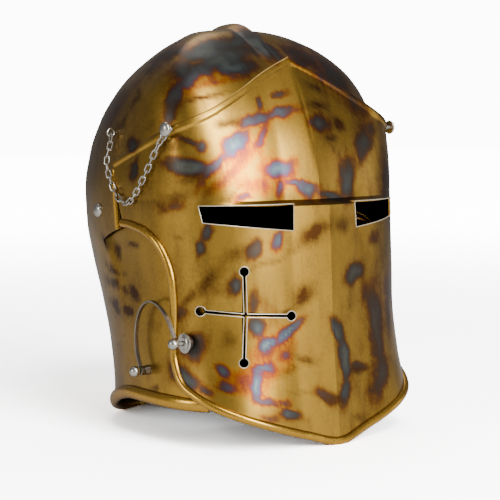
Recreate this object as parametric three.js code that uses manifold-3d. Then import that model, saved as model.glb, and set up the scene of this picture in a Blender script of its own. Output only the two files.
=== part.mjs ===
// Visored barbute: a brass-coloured sheet-metal helmet with a comb, a keeled
// visor on two temple pivots, a hook latch and a short retaining chain.
// Millimetres, +Z up, the visor faces -Y, the wearer's right side is -X.
// Z = 0 is the surface that the keel tip and the nape rest on.

import * as THREE from 'three';
import { mergeVertices } from 'three/addons/utils/BufferGeometryUtils.js';
import Module from 'manifold-3d';

const wasm = await Module();
wasm.setup();

// Driving dimensions

const SHEET = 1.4; // thickness of the skull and visor sheet
const GAP = 0.3; // clearance between neighbouring pieces
const CENTRE_X = -3.05; // middle of the whole width, hook ball included, moved to the origin
const CENTRE_Y = 6.5; // middle of the helmet's depth, moved to the origin
const TAU = Math.PI * 2;
const REACH = 140; // half width of the cutters, beyond every side of the helmet

// Skull plan sections from the crown down: height, middle of the section in
// y, half width, reach forward and reach back.
const SKULL_TOP = { y: 8, z: 312.8 };
const SKULL_SECTIONS = [
  { z: 310.5, middle: 2, half: 33, front: 11, back: 27, frontPower: 2.4, backPower: 2.2 },
  { z: 304, middle: -7, half: 52, front: 14, back: 46, frontPower: 2.7, backPower: 2.2 },
  { z: 296, middle: -13, half: 66.5, front: 20, back: 67, frontPower: 3, backPower: 2.2 },
  { z: 287, middle: -16.5, half: 77, front: 29.5, back: 87, frontPower: 3, backPower: 2.2 },
  { z: 275, middle: -18, half: 89, front: 41, back: 104, frontPower: 2.8, backPower: 2.2 },
  { z: 260, middle: -18, half: 98.5, front: 52.5, back: 120, frontPower: 2.7, backPower: 2.2 },
  { z: 240, middle: -18, half: 104, front: 64, back: 142, frontPower: 2.8, backPower: 2.2 },
  { z: 214, middle: -18, half: 107.4, front: 72, back: 158, frontPower: 3.2, backPower: 2.25 },
  { z: 186, middle: -18, half: 108.4, front: 76, back: 163, frontPower: 3, backPower: 2.35 },
  { z: 158, middle: -18, half: 107.8, front: 78, back: 161, frontPower: 3, backPower: 2.35 },
  { z: 130, middle: -18, half: 106, front: 80, back: 151, frontPower: 3, backPower: 2.35 },
  { z: 98, middle: -18, half: 104, front: 82, back: 134, frontPower: 3, backPower: 2.35 },
  { z: 64, middle: -18, half: 102.8, front: 84, back: 118.5, frontPower: 3, backPower: 2.35 },
  { z: 28, middle: -18, half: 103, front: 87.5, back: 109, frontPower: 3, backPower: 2.35 },
  { z: -14, middle: -18, half: 105, front: 90, back: 112, frontPower: 3, backPower: 2.35 },
];

// Comb: a soft ridge along the crown, in side view. It runs between these
// heights of the skull's middle line, and its foot is let into the sheet.
const COMB = { halfWidth: 11, rise: 5.4, frontRun: 0.04, backRun: 0.35, foot: 1.25, footSpread: 0.5 };
const COMB_FRONT_HEIGHTS = [278, 287, 296, 304, 310.5];
const COMB_BACK_HEIGHTS = [310.5, 304, 294, 280, 263, 244];
const COMB_ACROSS = [-1, -0.55, -0.2, 0, 0.2, 0.55, 1];
const COMB_STEPS = 14;

// Visor plan sections below the eye slots, with the middle at y = VISOR_Y.
const VISOR_Y = -20;
const VISOR_SECTIONS = [
  { z: 181, half: 110.5, front: 90, power: 2.5 },
  { z: 150, half: 109, front: 91.8, power: 2.6 },
  { z: 126, half: 107.6, front: 93.2, power: 2.7 },
  { z: 94, half: 106.2, front: 94.8, power: 2.8 },
  { z: 60, half: 106.4, front: 97.6, power: 3.1 },
  { z: 28, half: 108, front: 101.6, power: 3.6 },
  { z: 0, half: 109.5, front: 105.2, power: 3.9 },
];
const KEEL_RISE = 4.4;
const KEEL_SPREAD = 40;
const UPPER_BULGE = { keel: 7, side: 1.5, spread: 85 };

// Lower border of the visor, from the keel tip round the jaw corner and up
// the S-shaped side to the rear. across: -x on the front, y on the side.
const VISOR_BORDER = [
  { x: 0, z: 2.6 },
  { x: 22, z: 7.4 },
  { x: 46, z: 14.6 },
  { x: 70, z: 22.8 },
  { x: 90, z: 31.4 },
  { y: -84, z: 39.8 },
  { y: -70, z: 48 },
  { y: -61.5, z: 63 },
  { y: -59.6, z: 84 },
  { y: -59.4, z: 110 },
  { y: -56.6, z: 131 },
  { y: -47, z: 148.5 },
  { y: -31, z: 158.6 },
  { y: -14, z: 162.2 },
  { y: 0, z: 163 },
];

// Brow edge of the visor, from the peak to the temple stud and on to the
// rear end of the hem.
const BROW = [
  { x: 0, y: -63.5, z: 289.5 },
  { x: 26, y: -67, z: 278 },
  { x: 52, y: -72, z: 264 },
  { x: 78, y: -73.5, z: 250.5 },
  { x: 95, y: -68, z: 242.5 },
  { x: 103, y: -60, z: 238.2 },
  { x: 106.6, y: -42, z: 231.3 },
  { x: 108.8, y: -14, z: 220.8 },
  { x: 109.6, y: 11, z: 211.3 },
];
const HEM = { width: 6.2, rise: 1.3 };

// Ledge over the eye slots.
const LEDGE = { topZ: 182.5, lowZ: 178.5, keelStep: 10.5, endX: 96 };

// Eye slots: corner points on the right-hand lower face, x and z.
const SLOT = [
  { x: 29.7, z: 180.2 },
  { x: 94.0, z: 179.4 },
  { x: 91.5, z: 167 },
  { x: 29.9, z: 160.3 },
];

// Cross-shaped breath on the wearer's right face only.
const BREATH = { holeRadius: 3.7, slotWidth: 2.5 };
const BREATH_HOLES = [
  { x: -69.3, z: 131.7 },
  { x: -93.9, z: 102.4 },
  { x: -34.8, z: 97.7 },
  { x: -72.9, z: 65.4 },
];

const BEAD = { visor: 3, neck: 3.6, temple: 2.3, sides: 6 };
const TURNED_SIDES = 10;

// Neck rim: height of its middle against y.
const NECK_RIM = { frontY: -82, sideZ: 33, napeZ: 3.1, fallFromY: -6, napeY: 88 };

// Temple plate: the skull's own front edge, cut to this side outline.
const TEMPLE_EDGE = [
  { y: -REACH, z: 250 },
  { y: -76, z: 250 },
  { y: -67, z: 232 },
  { y: -56, z: 228 },
  { y: -24, z: 224 },
  { y: 4, z: 213 },
  { y: 14, z: 203 },
  { y: 12.6, z: 184 },
  { y: 10, z: 157.5 },
];
const TEMPLE_BOTTOM = [
  { y: 10, z: 157.5 },
  { y: 18, z: 155.4 },
  { y: 29, z: 151.8 },
  { y: 39, z: 147.2 },
  { y: 33.5, z: 136.5 },
  { y: 32, z: 100 },
  { y: 32, z: -30 },
];
// Cheek: front and top edge in side view, hidden under the visor.
const CHEEK_EDGE = [
  { y: -82, z: -30 },
  { y: -82, z: 44 },
  { y: -78, z: 92 },
  { y: -64, z: 132 },
  { y: -38, z: 158 },
  { y: -6, z: 168 },
  { y: 26, z: 166 },
  { y: 44, z: 156 },
  { y: 38, z: 136 },
  { y: 36, z: 100 },
  { y: 36, z: -30 },
];
const CHEEK_STEP = { full: 3, none: 0.3, rearZ: 137, rearY: 33, slope: 0.5, run: 20 };

// Temple studs, on the visor's hinge axis. The x values are distances out
// from the helmet's middle plane.
const PIVOT = { y: -59, z: 234.8 };
const PIVOT_STUD = { shaft: 1.8, inside: 87, neckEnd: 109.3, head: 5.6, dome: 3.6, rim: 0.5 };
const SIDE_RIVET = { y: 46, z: 170, shaft: 1.7, inside: 98.2, seat: 103.4, head: 5.4, dome: 2.9 };

// Peened inner heads: radius, edge height and whole height of each.
const PEEN = {
  temple: { radius: 3.2, edge: 0.3, height: 1.2 },
  rivet: { radius: 2.8, edge: 0.3, height: 1.1 },
  ball: { radius: 3, edge: 0.3, height: 1.2 },
  eye: { radius: 2, edge: 0.2, height: 1 },
};

// Hook latch on the wearer's right cheek.
const HOOK_STUD = {
  y: -24,
  z: 52.2,
  shaft: 1.8,
  inside: 98,
  seat: 102.4,
  collarFoot: 4,
  collarTop: 3.4,
  eyeStart: 107.2,
  ballX: 114.8,
  ball: 4.2,
};
const HOOK = { inner: 107.6, outer: 110.8, thickness: 1.3, eye: 2.75 };
// Side view of the strip, from the eye round the stud over the arch to the tip.
const HOOK_ROUTE = [
  { y: -23.2, z: 54.9 },
  { y: -19.4, z: 63 },
  { y: -17.4, z: 72 },
  { y: -17.6, z: 83 },
  { y: -21.5, z: 95.5 },
  { y: -29, z: 103.6 },
  { y: -38.5, z: 106.6 },
  { y: -49, z: 104 },
  { y: -57.5, z: 98.2 },
  { y: -64, z: 91 },
  { y: -69.2, z: 82.4 },
];
const CATCH = { y: -74.3, z: 79, shaft: 1.8, inside: 92.8, ballX: 113.6, ball: 4.2 };
const CATCH_WASHER = { radius: 7.6, hole: 2.1, from: 103.4, thickness: 1.2, ring: 4.7, ringRise: 1.1 };

// Chain from the eye pin on the skull to the right temple stud's neck.
const LINK = {
  wire: 0.54,
  halfWidth: 1.8,
  halfLength: 3.65,
  slack: 0.4,
  turn: 45,
  endTurn: 40,
  endRun: 3,
  sides: 5,
  arcSteps: 4,
};
const END_LINK = { halfWidth: 2.9, halfLength: 6, x: 107.1 };
const EYE_PIN = { y: 20, z: 231.5, ring: 3, wire: 0.65, reach: 107.2, inside: 98.6 };
const CHAIN_ROUTE = [
  { x: -107.2, y: 20, z: 227.3 },
  { x: -107.9, y: 20.3, z: 221 },
  { x: -110, y: 20.8, z: 214 },
  { x: -112.2, y: 18, z: 206 },
  { x: -113.4, y: 12, z: 197 },
  { x: -113.6, y: 4.5, z: 186.5 },
  { x: -113.6, y: -4, z: 180.4 },
  { x: -113.6, y: -13, z: 179 },
  { x: -113.6, y: -21.5, z: 184 },
  { x: -113.6, y: -32.5, z: 195.4 },
  { x: -112.8, y: -40.5, z: 206 },
  { x: -111.6, y: -47.5, z: 217.4 },
  { x: -110, y: -52.9, z: 225.9 },
];

// Shape helpers

function lerp(a, b, t) {
  return a + (b - a) * t;
}

function clamp01(t) {
  return Math.min(1, Math.max(0, t));
}

function smooth(t) {
  const s = clamp01(t);
  return s * s * (3 - 2 * s);
}

// Value of one column of a table at height z, on a smooth monotone curve.
function column(table, name, z) {
  const rows = [...table].sort((a, b) => a.z - b.z);
  if (z <= rows[0].z) return rows[0][name];
  const last = rows.length - 1;
  if (z >= rows[last].z) return rows[last][name];
  let i = 0;
  while (rows[i + 1].z < z) i += 1;
  const slope = (k) => (rows[k + 1][name] - rows[k][name]) / (rows[k + 1].z - rows[k].z);
  const tangent = (k) => {
    if (k === 0) return slope(0);
    if (k === last) return slope(last - 1);
    const before = slope(k - 1);
    const after = slope(k);
    return before * after <= 0 ? 0 : (2 * before * after) / (before + after);
  };
  const h = rows[i + 1].z - rows[i].z;
  const t = (z - rows[i].z) / h;
  const a = rows[i][name];
  const b = rows[i + 1][name];
  const ta = tangent(i) * h;
  const tb = tangent(i + 1) * h;
  const t2 = t * t;
  const t3 = t2 * t;
  return a * (2 * t3 - 3 * t2 + 1) + ta * (t3 - 2 * t2 + t) + b * (3 * t2 - 2 * t3) + tb * (t3 - t2);
}

// Point of a rounded section: angle 0 is straight ahead, 90 degrees the side.
function rounded(angle, half, reach, power) {
  const s = Math.sin(angle);
  const c = Math.cos(angle);
  const x = half * Math.sign(s) * Math.abs(s) ** (2 / power);
  const y = -reach * Math.sign(c) * Math.abs(c) ** (2 / power);
  return [x, y];
}

// A sheet between an outer grid of points and the same grid moved inward.
function sheet(grid, thickness, closedAcross, poleFirst) {
  const rows = grid.length;
  const cols = grid[0].length;
  const end = cols - 1;
  const at = (j, i) => grid[j][closedAcross ? (i + cols) % cols : Math.min(cols - 1, Math.max(0, i))];
  const inner = grid.map((row, j) =>
    row.map((p, i) => {
      if (poleFirst && j === 0) return p.clone().add(new THREE.Vector3(0, 0, -thickness));
      const across = at(j, i + 1).clone().sub(at(j, i - 1));
      const down = at(Math.min(rows - 1, j + 1), i).clone().sub(at(Math.max(0, j - 1), i));
      const normal = down.cross(across).normalize();
      return p.clone().addScaledVector(normal, -thickness);
    }),
  );
  const positions = [];
  const faces = [];
  const index = (layer, j, i) => {
    if (poleFirst && j === 0) return layer;
    const wrapped = closedAcross ? (i + cols) % cols : i;
    const first = poleFirst ? 2 : 0;
    const row = poleFirst ? j - 1 : j;
    return first + (layer * (poleFirst ? rows - 1 : rows) + row) * cols + wrapped;
  };
  if (poleFirst) {
    positions.push(grid[0][0], inner[0][0]);
  }
  for (const layer of [grid, inner]) {
    for (let j = poleFirst ? 1 : 0; j < rows; j += 1) positions.push(...layer[j]);
  }
  const quad = (a, b, c, d) => {
    if (a !== b && b !== c && a !== c) faces.push(a, b, c);
    if (a !== c && c !== d && a !== d) faces.push(a, c, d);
  };
  const spans = closedAcross ? cols : cols - 1;
  for (let j = 0; j < rows - 1; j += 1) {
    for (let i = 0; i < spans; i += 1) {
      quad(index(0, j, i), index(0, j + 1, i), index(0, j + 1, i + 1), index(0, j, i + 1));
      quad(index(1, j, i), index(1, j, i + 1), index(1, j + 1, i + 1), index(1, j + 1, i));
    }
  }
  const foot = rows - 1;
  for (let i = 0; i < spans; i += 1) {
    quad(index(0, foot, i), index(1, foot, i), index(1, foot, i + 1), index(0, foot, i + 1));
    if (!poleFirst) quad(index(0, 0, i), index(0, 0, i + 1), index(1, 0, i + 1), index(1, 0, i));
  }
  if (!closedAcross) {
    for (let j = 0; j < rows - 1; j += 1) {
      quad(index(0, j, 0), index(1, j, 0), index(1, j + 1, 0), index(0, j + 1, 0));
      quad(index(0, j, end), index(0, j + 1, end), index(1, j + 1, end), index(1, j, end));
    }
  }
  return outward(toGeometry(positions.flatMap((p) => p.toArray()), faces));
}

function toGeometry(positions, faces) {
  const geometry = new THREE.BufferGeometry();
  geometry.setAttribute('position', new THREE.Float32BufferAttribute(positions, 3));
  geometry.setIndex(faces);
  return geometry;
}

function volume(geometry) {
  const p = geometry.attributes.position;
  const f = geometry.index.array;
  const corner = (k) => new THREE.Vector3().fromBufferAttribute(p, f[k]);
  let sum = 0;
  for (let k = 0; k < f.length; k += 3) sum += corner(k).dot(corner(k + 1).cross(corner(k + 2)));
  return sum / 6;
}

function outward(geometry) {
  if (volume(geometry) < 0) {
    const f = geometry.index.array;
    for (let k = 0; k < f.length; k += 3) [f[k + 1], f[k + 2]] = [f[k + 2], f[k + 1]];
  }
  return geometry;
}

function solid(geometry) {
  const bare = geometry.clone();
  bare.deleteAttribute('normal');
  bare.deleteAttribute('uv');
  const merged = outward(mergeVertices(bare, 1e-4));
  return new wasm.Manifold(
    new wasm.Mesh({
      numProp: 3,
      vertProperties: Float32Array.from(merged.attributes.position.array),
      triVerts: Uint32Array.from(merged.index.array),
    }),
  );
}

function fromSolid(manifold) {
  const mesh = manifold.getMesh();
  return toGeometry(Array.from(mesh.vertProperties), Array.from(mesh.triVerts));
}

// Side-view outline in y and z, extruded right across the helmet or over a
// stretch of x.
function sidePrism(outline, fromX, toX) {
  const shape = new THREE.Shape(outline.map((p) => new THREE.Vector2(p.y, p.z)));
  const prism = new THREE.ExtrudeGeometry(shape, { depth: toX - fromX, bevelEnabled: false, steps: 1 });
  const turn = new THREE.Matrix4().makeBasis(
    new THREE.Vector3(0, 1, 0),
    new THREE.Vector3(0, 0, 1),
    new THREE.Vector3(1, 0, 0),
  );
  return prism.applyMatrix4(turn).translate(fromX, 0, 0);
}

// Smooth run of side-view points through the given knots.
function sideCurve(knots, steps) {
  const curve = new THREE.CatmullRomCurve3(
    knots.map((k) => new THREE.Vector3(0, k.y, k.z)),
    false,
    'centripetal',
  );
  return curve.getPoints(steps).map((p) => ({ y: p.y, z: p.z }));
}

// Round bead along a path, closed at its ends.
function bead(points, radius, sides) {
  const path = new THREE.CatmullRomCurve3(points, false, 'centripetal');
  const section = new THREE.Shape();
  for (let k = 0; k < sides; k += 1) {
    const a = (k / sides) * TAU;
    const x = radius * Math.cos(a);
    const y = radius * Math.sin(a);
    if (k === 0) section.moveTo(x, y);
    else section.lineTo(x, y);
  }
  return new THREE.ExtrudeGeometry(section, {
    steps: points.length - 1,
    bevelEnabled: false,
    extrudePath: path,
  });
}

// Turned piece along the X axis, from a profile of radius r and distance out
// from the middle plane. side is -1 for the wearer's right.
function turned(side, place, profile, segments) {
  const points = profile.map((p) => new THREE.Vector2(p.r, p.out));
  const lathe = new THREE.LatheGeometry(points, segments);
  lathe.deleteAttribute('normal');
  lathe.deleteAttribute('uv');
  const body = outward(mergeVertices(lathe, 1e-4));
  return body.rotateZ(-side * (Math.PI / 2)).translate(0, place.y, place.z);
}

// Quarter-round dome profile from its rim out to the axis.
function domeProfile(radius, from, height, steps) {
  const points = [];
  for (let k = 0; k <= steps; k += 1) {
    const a = (k / steps) * (Math.PI / 2);
    points.push({ r: k === steps ? 0 : radius * Math.cos(a), out: from + height * Math.sin(a) });
  }
  return points;
}

// Cutter for a round hole through one side wall.
const SIDE_HOLE = { length: 30, x: 103 };

function sideHole(side, place, radius) {
  const cutter = new THREE.CylinderGeometry(radius, radius, SIDE_HOLE.length, TURNED_SIDES);
  return solid(cutter.rotateZ(Math.PI / 2).translate(side * SIDE_HOLE.x, place.y, place.z));
}

// Everything below the resting surface, to leave flat worn spots on the rims.
function belowFloor() {
  const depth = 20;
  return solid(new THREE.BoxGeometry(REACH * 4, REACH * 4, depth).translate(0, 0, -depth / 2));
}

function mirrorX(geometry) {
  const copy = geometry.clone().scale(-1, 1, 1);
  return outward(copy);
}

// Skull surface

function skullPoint(angle, z, inset) {
  const value = (name) => column(SKULL_SECTIONS, name, z);
  const ahead = Math.cos(angle) > 0;
  const reach = value(ahead ? 'front' : 'back') - inset;
  const power = value(ahead ? 'frontPower' : 'backPower');
  const [x, y] = rounded(angle, value('half') - inset, reach, power);
  return new THREE.Vector3(x, y + value('middle'), z);
}

// Round the closed section all the way: a pole at the crown, then one ring of
// points for each height.
const SKULL_COLUMNS = 32;

function skullSheet(recess) {
  const angles = [];
  for (let i = 0; i < SKULL_COLUMNS; i += 1) angles.push((i / SKULL_COLUMNS) * TAU);
  const crown = new THREE.Vector3(0, SKULL_TOP.y, SKULL_TOP.z - recess);
  const grid = [angles.map(() => crown)];
  for (const { z } of SKULL_SECTIONS) grid.push(angles.map((a) => skullPoint(a, z, recess)));
  return solid(sheet(grid, SHEET, true, true));
}

function neckRimHeight(y) {
  const r = NECK_RIM;
  const back = clamp01((y - r.fallFromY) / (r.napeY - r.fallFromY));
  return lerp(r.sideZ, r.napeZ, smooth(back) * 0.6 + back * back * 0.4);
}

// Depth of the cheek below the skull's own surface: a full step under the
// temple plate, nothing where the two run together lower down.
function cheekRecess(y, z) {
  const { full, none, rearZ, rearY, slope, run } = CHEEK_STEP;
  const startZ = rearZ - (rearY - y) * slope;
  return lerp(none, full, smooth((z - startZ) / run));
}

const CHEEK_HEIGHTS = [172, 158, 146, 135, 116, 84, 50, 20];
const CHEEK_COLUMNS = 7;
const CHEEK_ANGLES = { front: 0.16 * Math.PI, back: 0.72 * Math.PI };

function cheekSheet() {
  const grid = CHEEK_HEIGHTS.map((z) => {
    const row = [];
    for (let i = 0; i <= CHEEK_COLUMNS; i += 1) {
      const angle = lerp(CHEEK_ANGLES.front, CHEEK_ANGLES.back, i / CHEEK_COLUMNS);
      const plain = skullPoint(angle, z, 0);
      row.push(skullPoint(angle, z, cheekRecess(plain.y, z)));
    }
    return row;
  });
  return solid(sheet(grid, SHEET, false, false));
}

// The comb's loft along the crown's middle line.
function combSolid() {
  const middle = [];
  const edge = (z, angle) => middle.push(skullPoint(angle, z, 0).setX(0));
  for (const z of COMB_FRONT_HEIGHTS) edge(z, 0);
  middle.push(new THREE.Vector3(0, SKULL_TOP.y, SKULL_TOP.z));
  for (const z of COMB_BACK_HEIGHTS) edge(z, Math.PI);
  const curve = new THREE.CatmullRomCurve3(middle, false, 'centripetal');
  const rings = [];
  for (let k = 0; k <= COMB_STEPS; k += 1) {
    const t = k / COMB_STEPS;
    const p = curve.getPointAt(t);
    const along = curve.getTangentAt(t);
    const out = new THREE.Vector3(0, -along.z, along.y);
    const start = smooth((t + COMB.frontRun) / (2 * COMB.frontRun));
    const rise = COMB.rise * start * smooth((1 - t) / COMB.backRun);
    const ring = [];
    for (const side of COMB_ACROSS) {
      const lift = rise * (0.5 + 0.5 * Math.cos(side * Math.PI)) - 0.9 * side * side - 0.1;
      ring.push(p.clone().addScaledVector(out, lift).setX(side * COMB.halfWidth));
    }
    for (const side of [COMB.footSpread, -COMB.footSpread]) {
      ring.push(p.clone().addScaledVector(out, -COMB.foot).setX(side * COMB.halfWidth));
    }
    rings.push(ring);
  }
  return solid(loft(rings));
}

// Closed loft through rings of points, with flat ends.
function loft(rings) {
  const n = rings[0].length;
  const faces = [];
  for (let j = 0; j < rings.length - 1; j += 1) {
    for (let i = 0; i < n; i += 1) {
      const a = j * n + i;
      const b = j * n + ((i + 1) % n);
      faces.push(a, b, b + n, a, b + n, a + n);
    }
  }
  const last = (rings.length - 1) * n;
  for (let i = 1; i < n - 1; i += 1) {
    faces.push(0, i + 1, i);
    faces.push(last, last + i, last + i + 1);
  }
  return outward(toGeometry(rings.flat().flatMap((p) => p.toArray()), faces));
}

// Angle round the skull's section at a height where the surface reaches y.
function skullAngleAt(y, z) {
  let low = 0;
  let high = Math.PI;
  for (let k = 0; k < 40; k += 1) {
    const middle = (low + high) / 2;
    if (skullPoint(middle, z, 0).y < y) low = middle;
    else high = middle;
  }
  return (low + high) / 2;
}

function neckBead() {
  const points = [];
  const steps = 28;
  const front = skullAngleAt(NECK_RIM.frontY, NECK_RIM.sideZ);
  for (let k = 0; k <= steps; k += 1) {
    const angle = lerp(front, TAU - front, k / steps);
    let z = NECK_RIM.sideZ;
    for (let pass = 0; pass < 4; pass += 1) z = neckRimHeight(skullPoint(angle, z, 0).y);
    points.push(skullPoint(angle, z, -0.6));
  }
  return solid(bead(points, BEAD.neck, BEAD.sides));
}

function templeBead(side) {
  const points = [];
  for (const knot of sideCurve(TEMPLE_EDGE.slice(-3), 5)) {
    const angle = skullAngleAt(knot.y, knot.z);
    points.push(skullPoint(side > 0 ? angle : -angle, knot.z, -0.3));
  }
  return solid(bead(points, BEAD.temple, BEAD.sides));
}

function skullSolid() {
  const templeCurve = [
    ...sideCurve(TEMPLE_EDGE.slice(1), 14),
    ...sideCurve(TEMPLE_BOTTOM.slice(0, 4), 8).slice(1),
  ];
  const opening = [
    { y: -REACH, z: -40 },
    TEMPLE_EDGE[0],
    ...templeCurve,
    ...TEMPLE_BOTTOM.slice(4),
    { y: 32, z: -40 },
  ];
  const upper = skullSheet(0).subtract(solid(sidePrism(opening, -REACH, REACH)));
  const cheekOutline = [...sideCurve(CHEEK_EDGE.slice(1, -2), 26), ...CHEEK_EDGE.slice(-2), CHEEK_EDGE[0]];
  const cheek = cheekSheet().intersect(solid(sidePrism(cheekOutline, 40, REACH)));
  const otherCheek = solid(mirrorX(fromSolid(cheek)));
  const belowRim = [];
  for (let y = -REACH; y <= REACH; y += 10) belowRim.push({ y, z: neckRimHeight(y) });
  belowRim.push({ y: REACH, z: -60 }, { y: -REACH, z: -60 });
  let skull = upper.add(cheek).add(otherCheek).subtract(solid(sidePrism(belowRim, -REACH, REACH)));
  skull = skull.add(neckBead()).add(combSolid()).add(templeBead(1)).add(templeBead(-1));
  for (const side of [-1, 1]) {
    skull = skull.subtract(sideHole(side, PIVOT, PIVOT_STUD.shaft + GAP));
    skull = skull.subtract(sideHole(side, SIDE_RIVET, SIDE_RIVET.shaft + GAP));
  }
  skull = skull.subtract(belowFloor()).subtract(sideHole(-1, HOOK_STUD, HOOK_STUD.shaft + GAP));
  return skull.subtract(sideHole(-1, EYE_PIN, EYE_PIN.wire + GAP));
}

// Visor surface

function visorPoint(angle, z) {
  const half = column(VISOR_SECTIONS, 'half', z);
  if (Math.abs(angle) > Math.PI / 2) {
    const past = Math.abs(angle) - Math.PI / 2;
    return new THREE.Vector3(Math.sign(angle) * half, VISOR_Y + past * half, z);
  }
  const reach = column(VISOR_SECTIONS, 'front', z);
  const [x, y] = rounded(angle, half, reach, column(VISOR_SECTIONS, 'power', z));
  const keel = KEEL_RISE * clamp01(1 - Math.abs(x) / KEEL_SPREAD);
  return new THREE.Vector3(x, y + VISOR_Y - keel, z);
}

function visorAngleAt(place, z) {
  let low = 0;
  let high = Math.PI * 0.8;
  for (let k = 0; k < 40; k += 1) {
    const middle = (low + high) / 2;
    const p = visorPoint(middle, z);
    const short = 'x' in place ? p.x < place.x : p.y < place.y;
    if (short) low = middle;
    else high = middle;
  }
  return (low + high) / 2;
}

const VISOR_COLUMNS = 17;
const VISOR_REAR_Y = 4.5;
const VISOR_RADIUS = 100; // mean radius, to unroll angles into lengths
const VISOR_LOWER_ROWS = 6;
const VISOR_UPPER_ROWS = 4;
const CURVE_SAMPLES = 500;

// Stations along the eye-level line, evenly spaced from the keel to the rear.
function eyeLevelAngles() {
  const end = visorAngleAt({ y: VISOR_REAR_Y }, LEDGE.lowZ);
  const samples = [];
  for (let k = 0; k <= CURVE_SAMPLES; k += 1) {
    const angle = (end * k) / CURVE_SAMPLES;
    samples.push({ angle, p: visorPoint(angle, LEDGE.lowZ) });
  }
  return evenly(samples, VISOR_COLUMNS).map((s) => s.angle);
}

function evenly(samples, count) {
  const reach = [0];
  for (let k = 1; k < samples.length; k += 1) {
    reach.push(reach[k - 1] + samples[k].p.distanceTo(samples[k - 1].p));
  }
  const total = reach[reach.length - 1];
  const picked = [];
  for (let i = 0; i <= count; i += 1) {
    const want = (total * i) / count;
    let k = reach.findIndex((r) => r >= want - 1e-9);
    if (k < 0) k = samples.length - 1;
    picked.push(samples[k]);
  }
  return picked;
}

function borderStations() {
  const knots = VISOR_BORDER.map((b) => {
    const angle = visorAngleAt(b, b.z);
    return new THREE.Vector3(angle * VISOR_RADIUS, 0, b.z);
  });
  const curve = new THREE.CatmullRomCurve3(knots, false, 'centripetal');
  const samples = curve.getPoints(CURVE_SAMPLES).map((q) => {
    const angle = q.x / VISOR_RADIUS;
    return { angle, z: q.z, p: visorPoint(angle, q.z) };
  });
  return evenly(samples, VISOR_COLUMNS);
}

function browStations() {
  const curve = new THREE.CatmullRomCurve3(
    BROW.map((b) => new THREE.Vector3(b.x, b.y, b.z)),
    false,
    'centripetal',
  );
  return evenly(curve.getPoints(CURVE_SAMPLES).map((p) => ({ p })), VISOR_COLUMNS).map((s) => s.p);
}

function ledgePoint(angle) {
  const low = visorPoint(angle, LEDGE.lowZ);
  const share = smooth((LEDGE.endX - low.x) / LEDGE.endX) ** 0.6;
  return new THREE.Vector3(low.x, low.y + LEDGE.keelStep * share, LEDGE.topZ);
}

function visorHalfGrid() {
  const angles = eyeLevelAngles();
  const border = borderStations();
  const brow = browStations();
  const columns = [];
  for (let i = 0; i <= VISOR_COLUMNS; i += 1) {
    const foot = ledgePoint(angles[i]);
    const top = brow[i];
    const length = top.distanceTo(foot);
    const hemStart = 1 - HEM.width / length;
    const share = i / VISOR_COLUMNS;
    const sideways = smooth((share - 0.3) / 0.4);
    const ahead = 1 - smooth((share - 0.35) / 0.4);
    const facing = new THREE.Vector3(sideways, -ahead, 0.25).normalize();
    const points = [];
    const swell = lerp(UPPER_BULGE.keel, UPPER_BULGE.side, smooth(foot.x / UPPER_BULGE.spread));
    const raise = (t, amount) => {
      const p = foot.clone().lerp(top, t).addScaledVector(facing, amount);
      const forward = swell * Math.sin(Math.PI * t ** 0.92);
      return i === 0 ? p.add(new THREE.Vector3(0, -forward, 0)) : p.addScaledVector(facing, forward);
    };
    points.push(raise(1, HEM.rise));
    points.push(raise(hemStart, HEM.rise));
    points.push(raise(hemStart - 0.012, 0));
    for (let j = VISOR_UPPER_ROWS - 1; j >= 1; j -= 1) {
      points.push(raise((hemStart * j) / VISOR_UPPER_ROWS, 0));
    }
    points.push(foot);
    for (let j = 0; j <= VISOR_LOWER_ROWS; j += 1) {
      const t = j / VISOR_LOWER_ROWS;
      points.push(visorPoint(lerp(angles[i], border[i].angle, t), lerp(LEDGE.lowZ, border[i].z, t)));
    }
    columns.push(points);
  }
  return columns;
}

function visorSolid() {
  const half = visorHalfGrid();
  const rows = half[0].length;
  const grid = [];
  for (let j = 0; j < rows; j += 1) {
    const row = [];
    for (let i = VISOR_COLUMNS; i >= 1; i -= 1) row.push(half[i][j].clone().setX(-half[i][j].x));
    for (let i = 0; i <= VISOR_COLUMNS; i += 1) row.push(half[i][j].clone());
    grid.push(row);
  }
  let visor = solid(sheet(grid, SHEET, false, false));
  visor = visor.add(solid(bead(grid[rows - 1], BEAD.visor, BEAD.sides)));
  for (const side of [-1, 1]) visor = visor.subtract(slotCutter(side));
  visor = visor.subtract(breathCutter()).subtract(belowFloor());
  for (const side of [-1, 1]) visor = visor.subtract(sideHole(side, PIVOT, PIVOT_STUD.shaft + GAP));
  return visor.subtract(sideHole(-1, CATCH, CATCH.shaft + GAP));
}

const CUT_DEPTH = 44;

// Prism square to the slot's chord on one side.
function slotCutter(side) {
  const faceY = (x, z) => visorPoint(visorAngleAt({ x }, z), z).y;
  const [first, second] = SLOT;
  const below = 3;
  const inner = new THREE.Vector3(side * first.x, faceY(first.x, first.z - below), 0);
  const outer = new THREE.Vector3(side * second.x, faceY(second.x, second.z - below), 0);
  const along = outer.clone().sub(inner).normalize();
  const up = new THREE.Vector3(0, 0, 1);
  const square = along.clone().cross(up);
  const shape = new THREE.Shape(
    SLOT.map((c) => {
      const x = side * c.x;
      const run = (x - inner.x) / along.x;
      return new THREE.Vector2(run, c.z);
    }),
  );
  const prism = new THREE.ExtrudeGeometry(shape, { depth: CUT_DEPTH, bevelEnabled: false });
  prism.translate(0, 0, -CUT_DEPTH / 2);
  const basis = new THREE.Matrix4().makeBasis(along, up, square);
  return solid(prism.applyMatrix4(basis).translate(inner.x, inner.y, 0));
}

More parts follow.
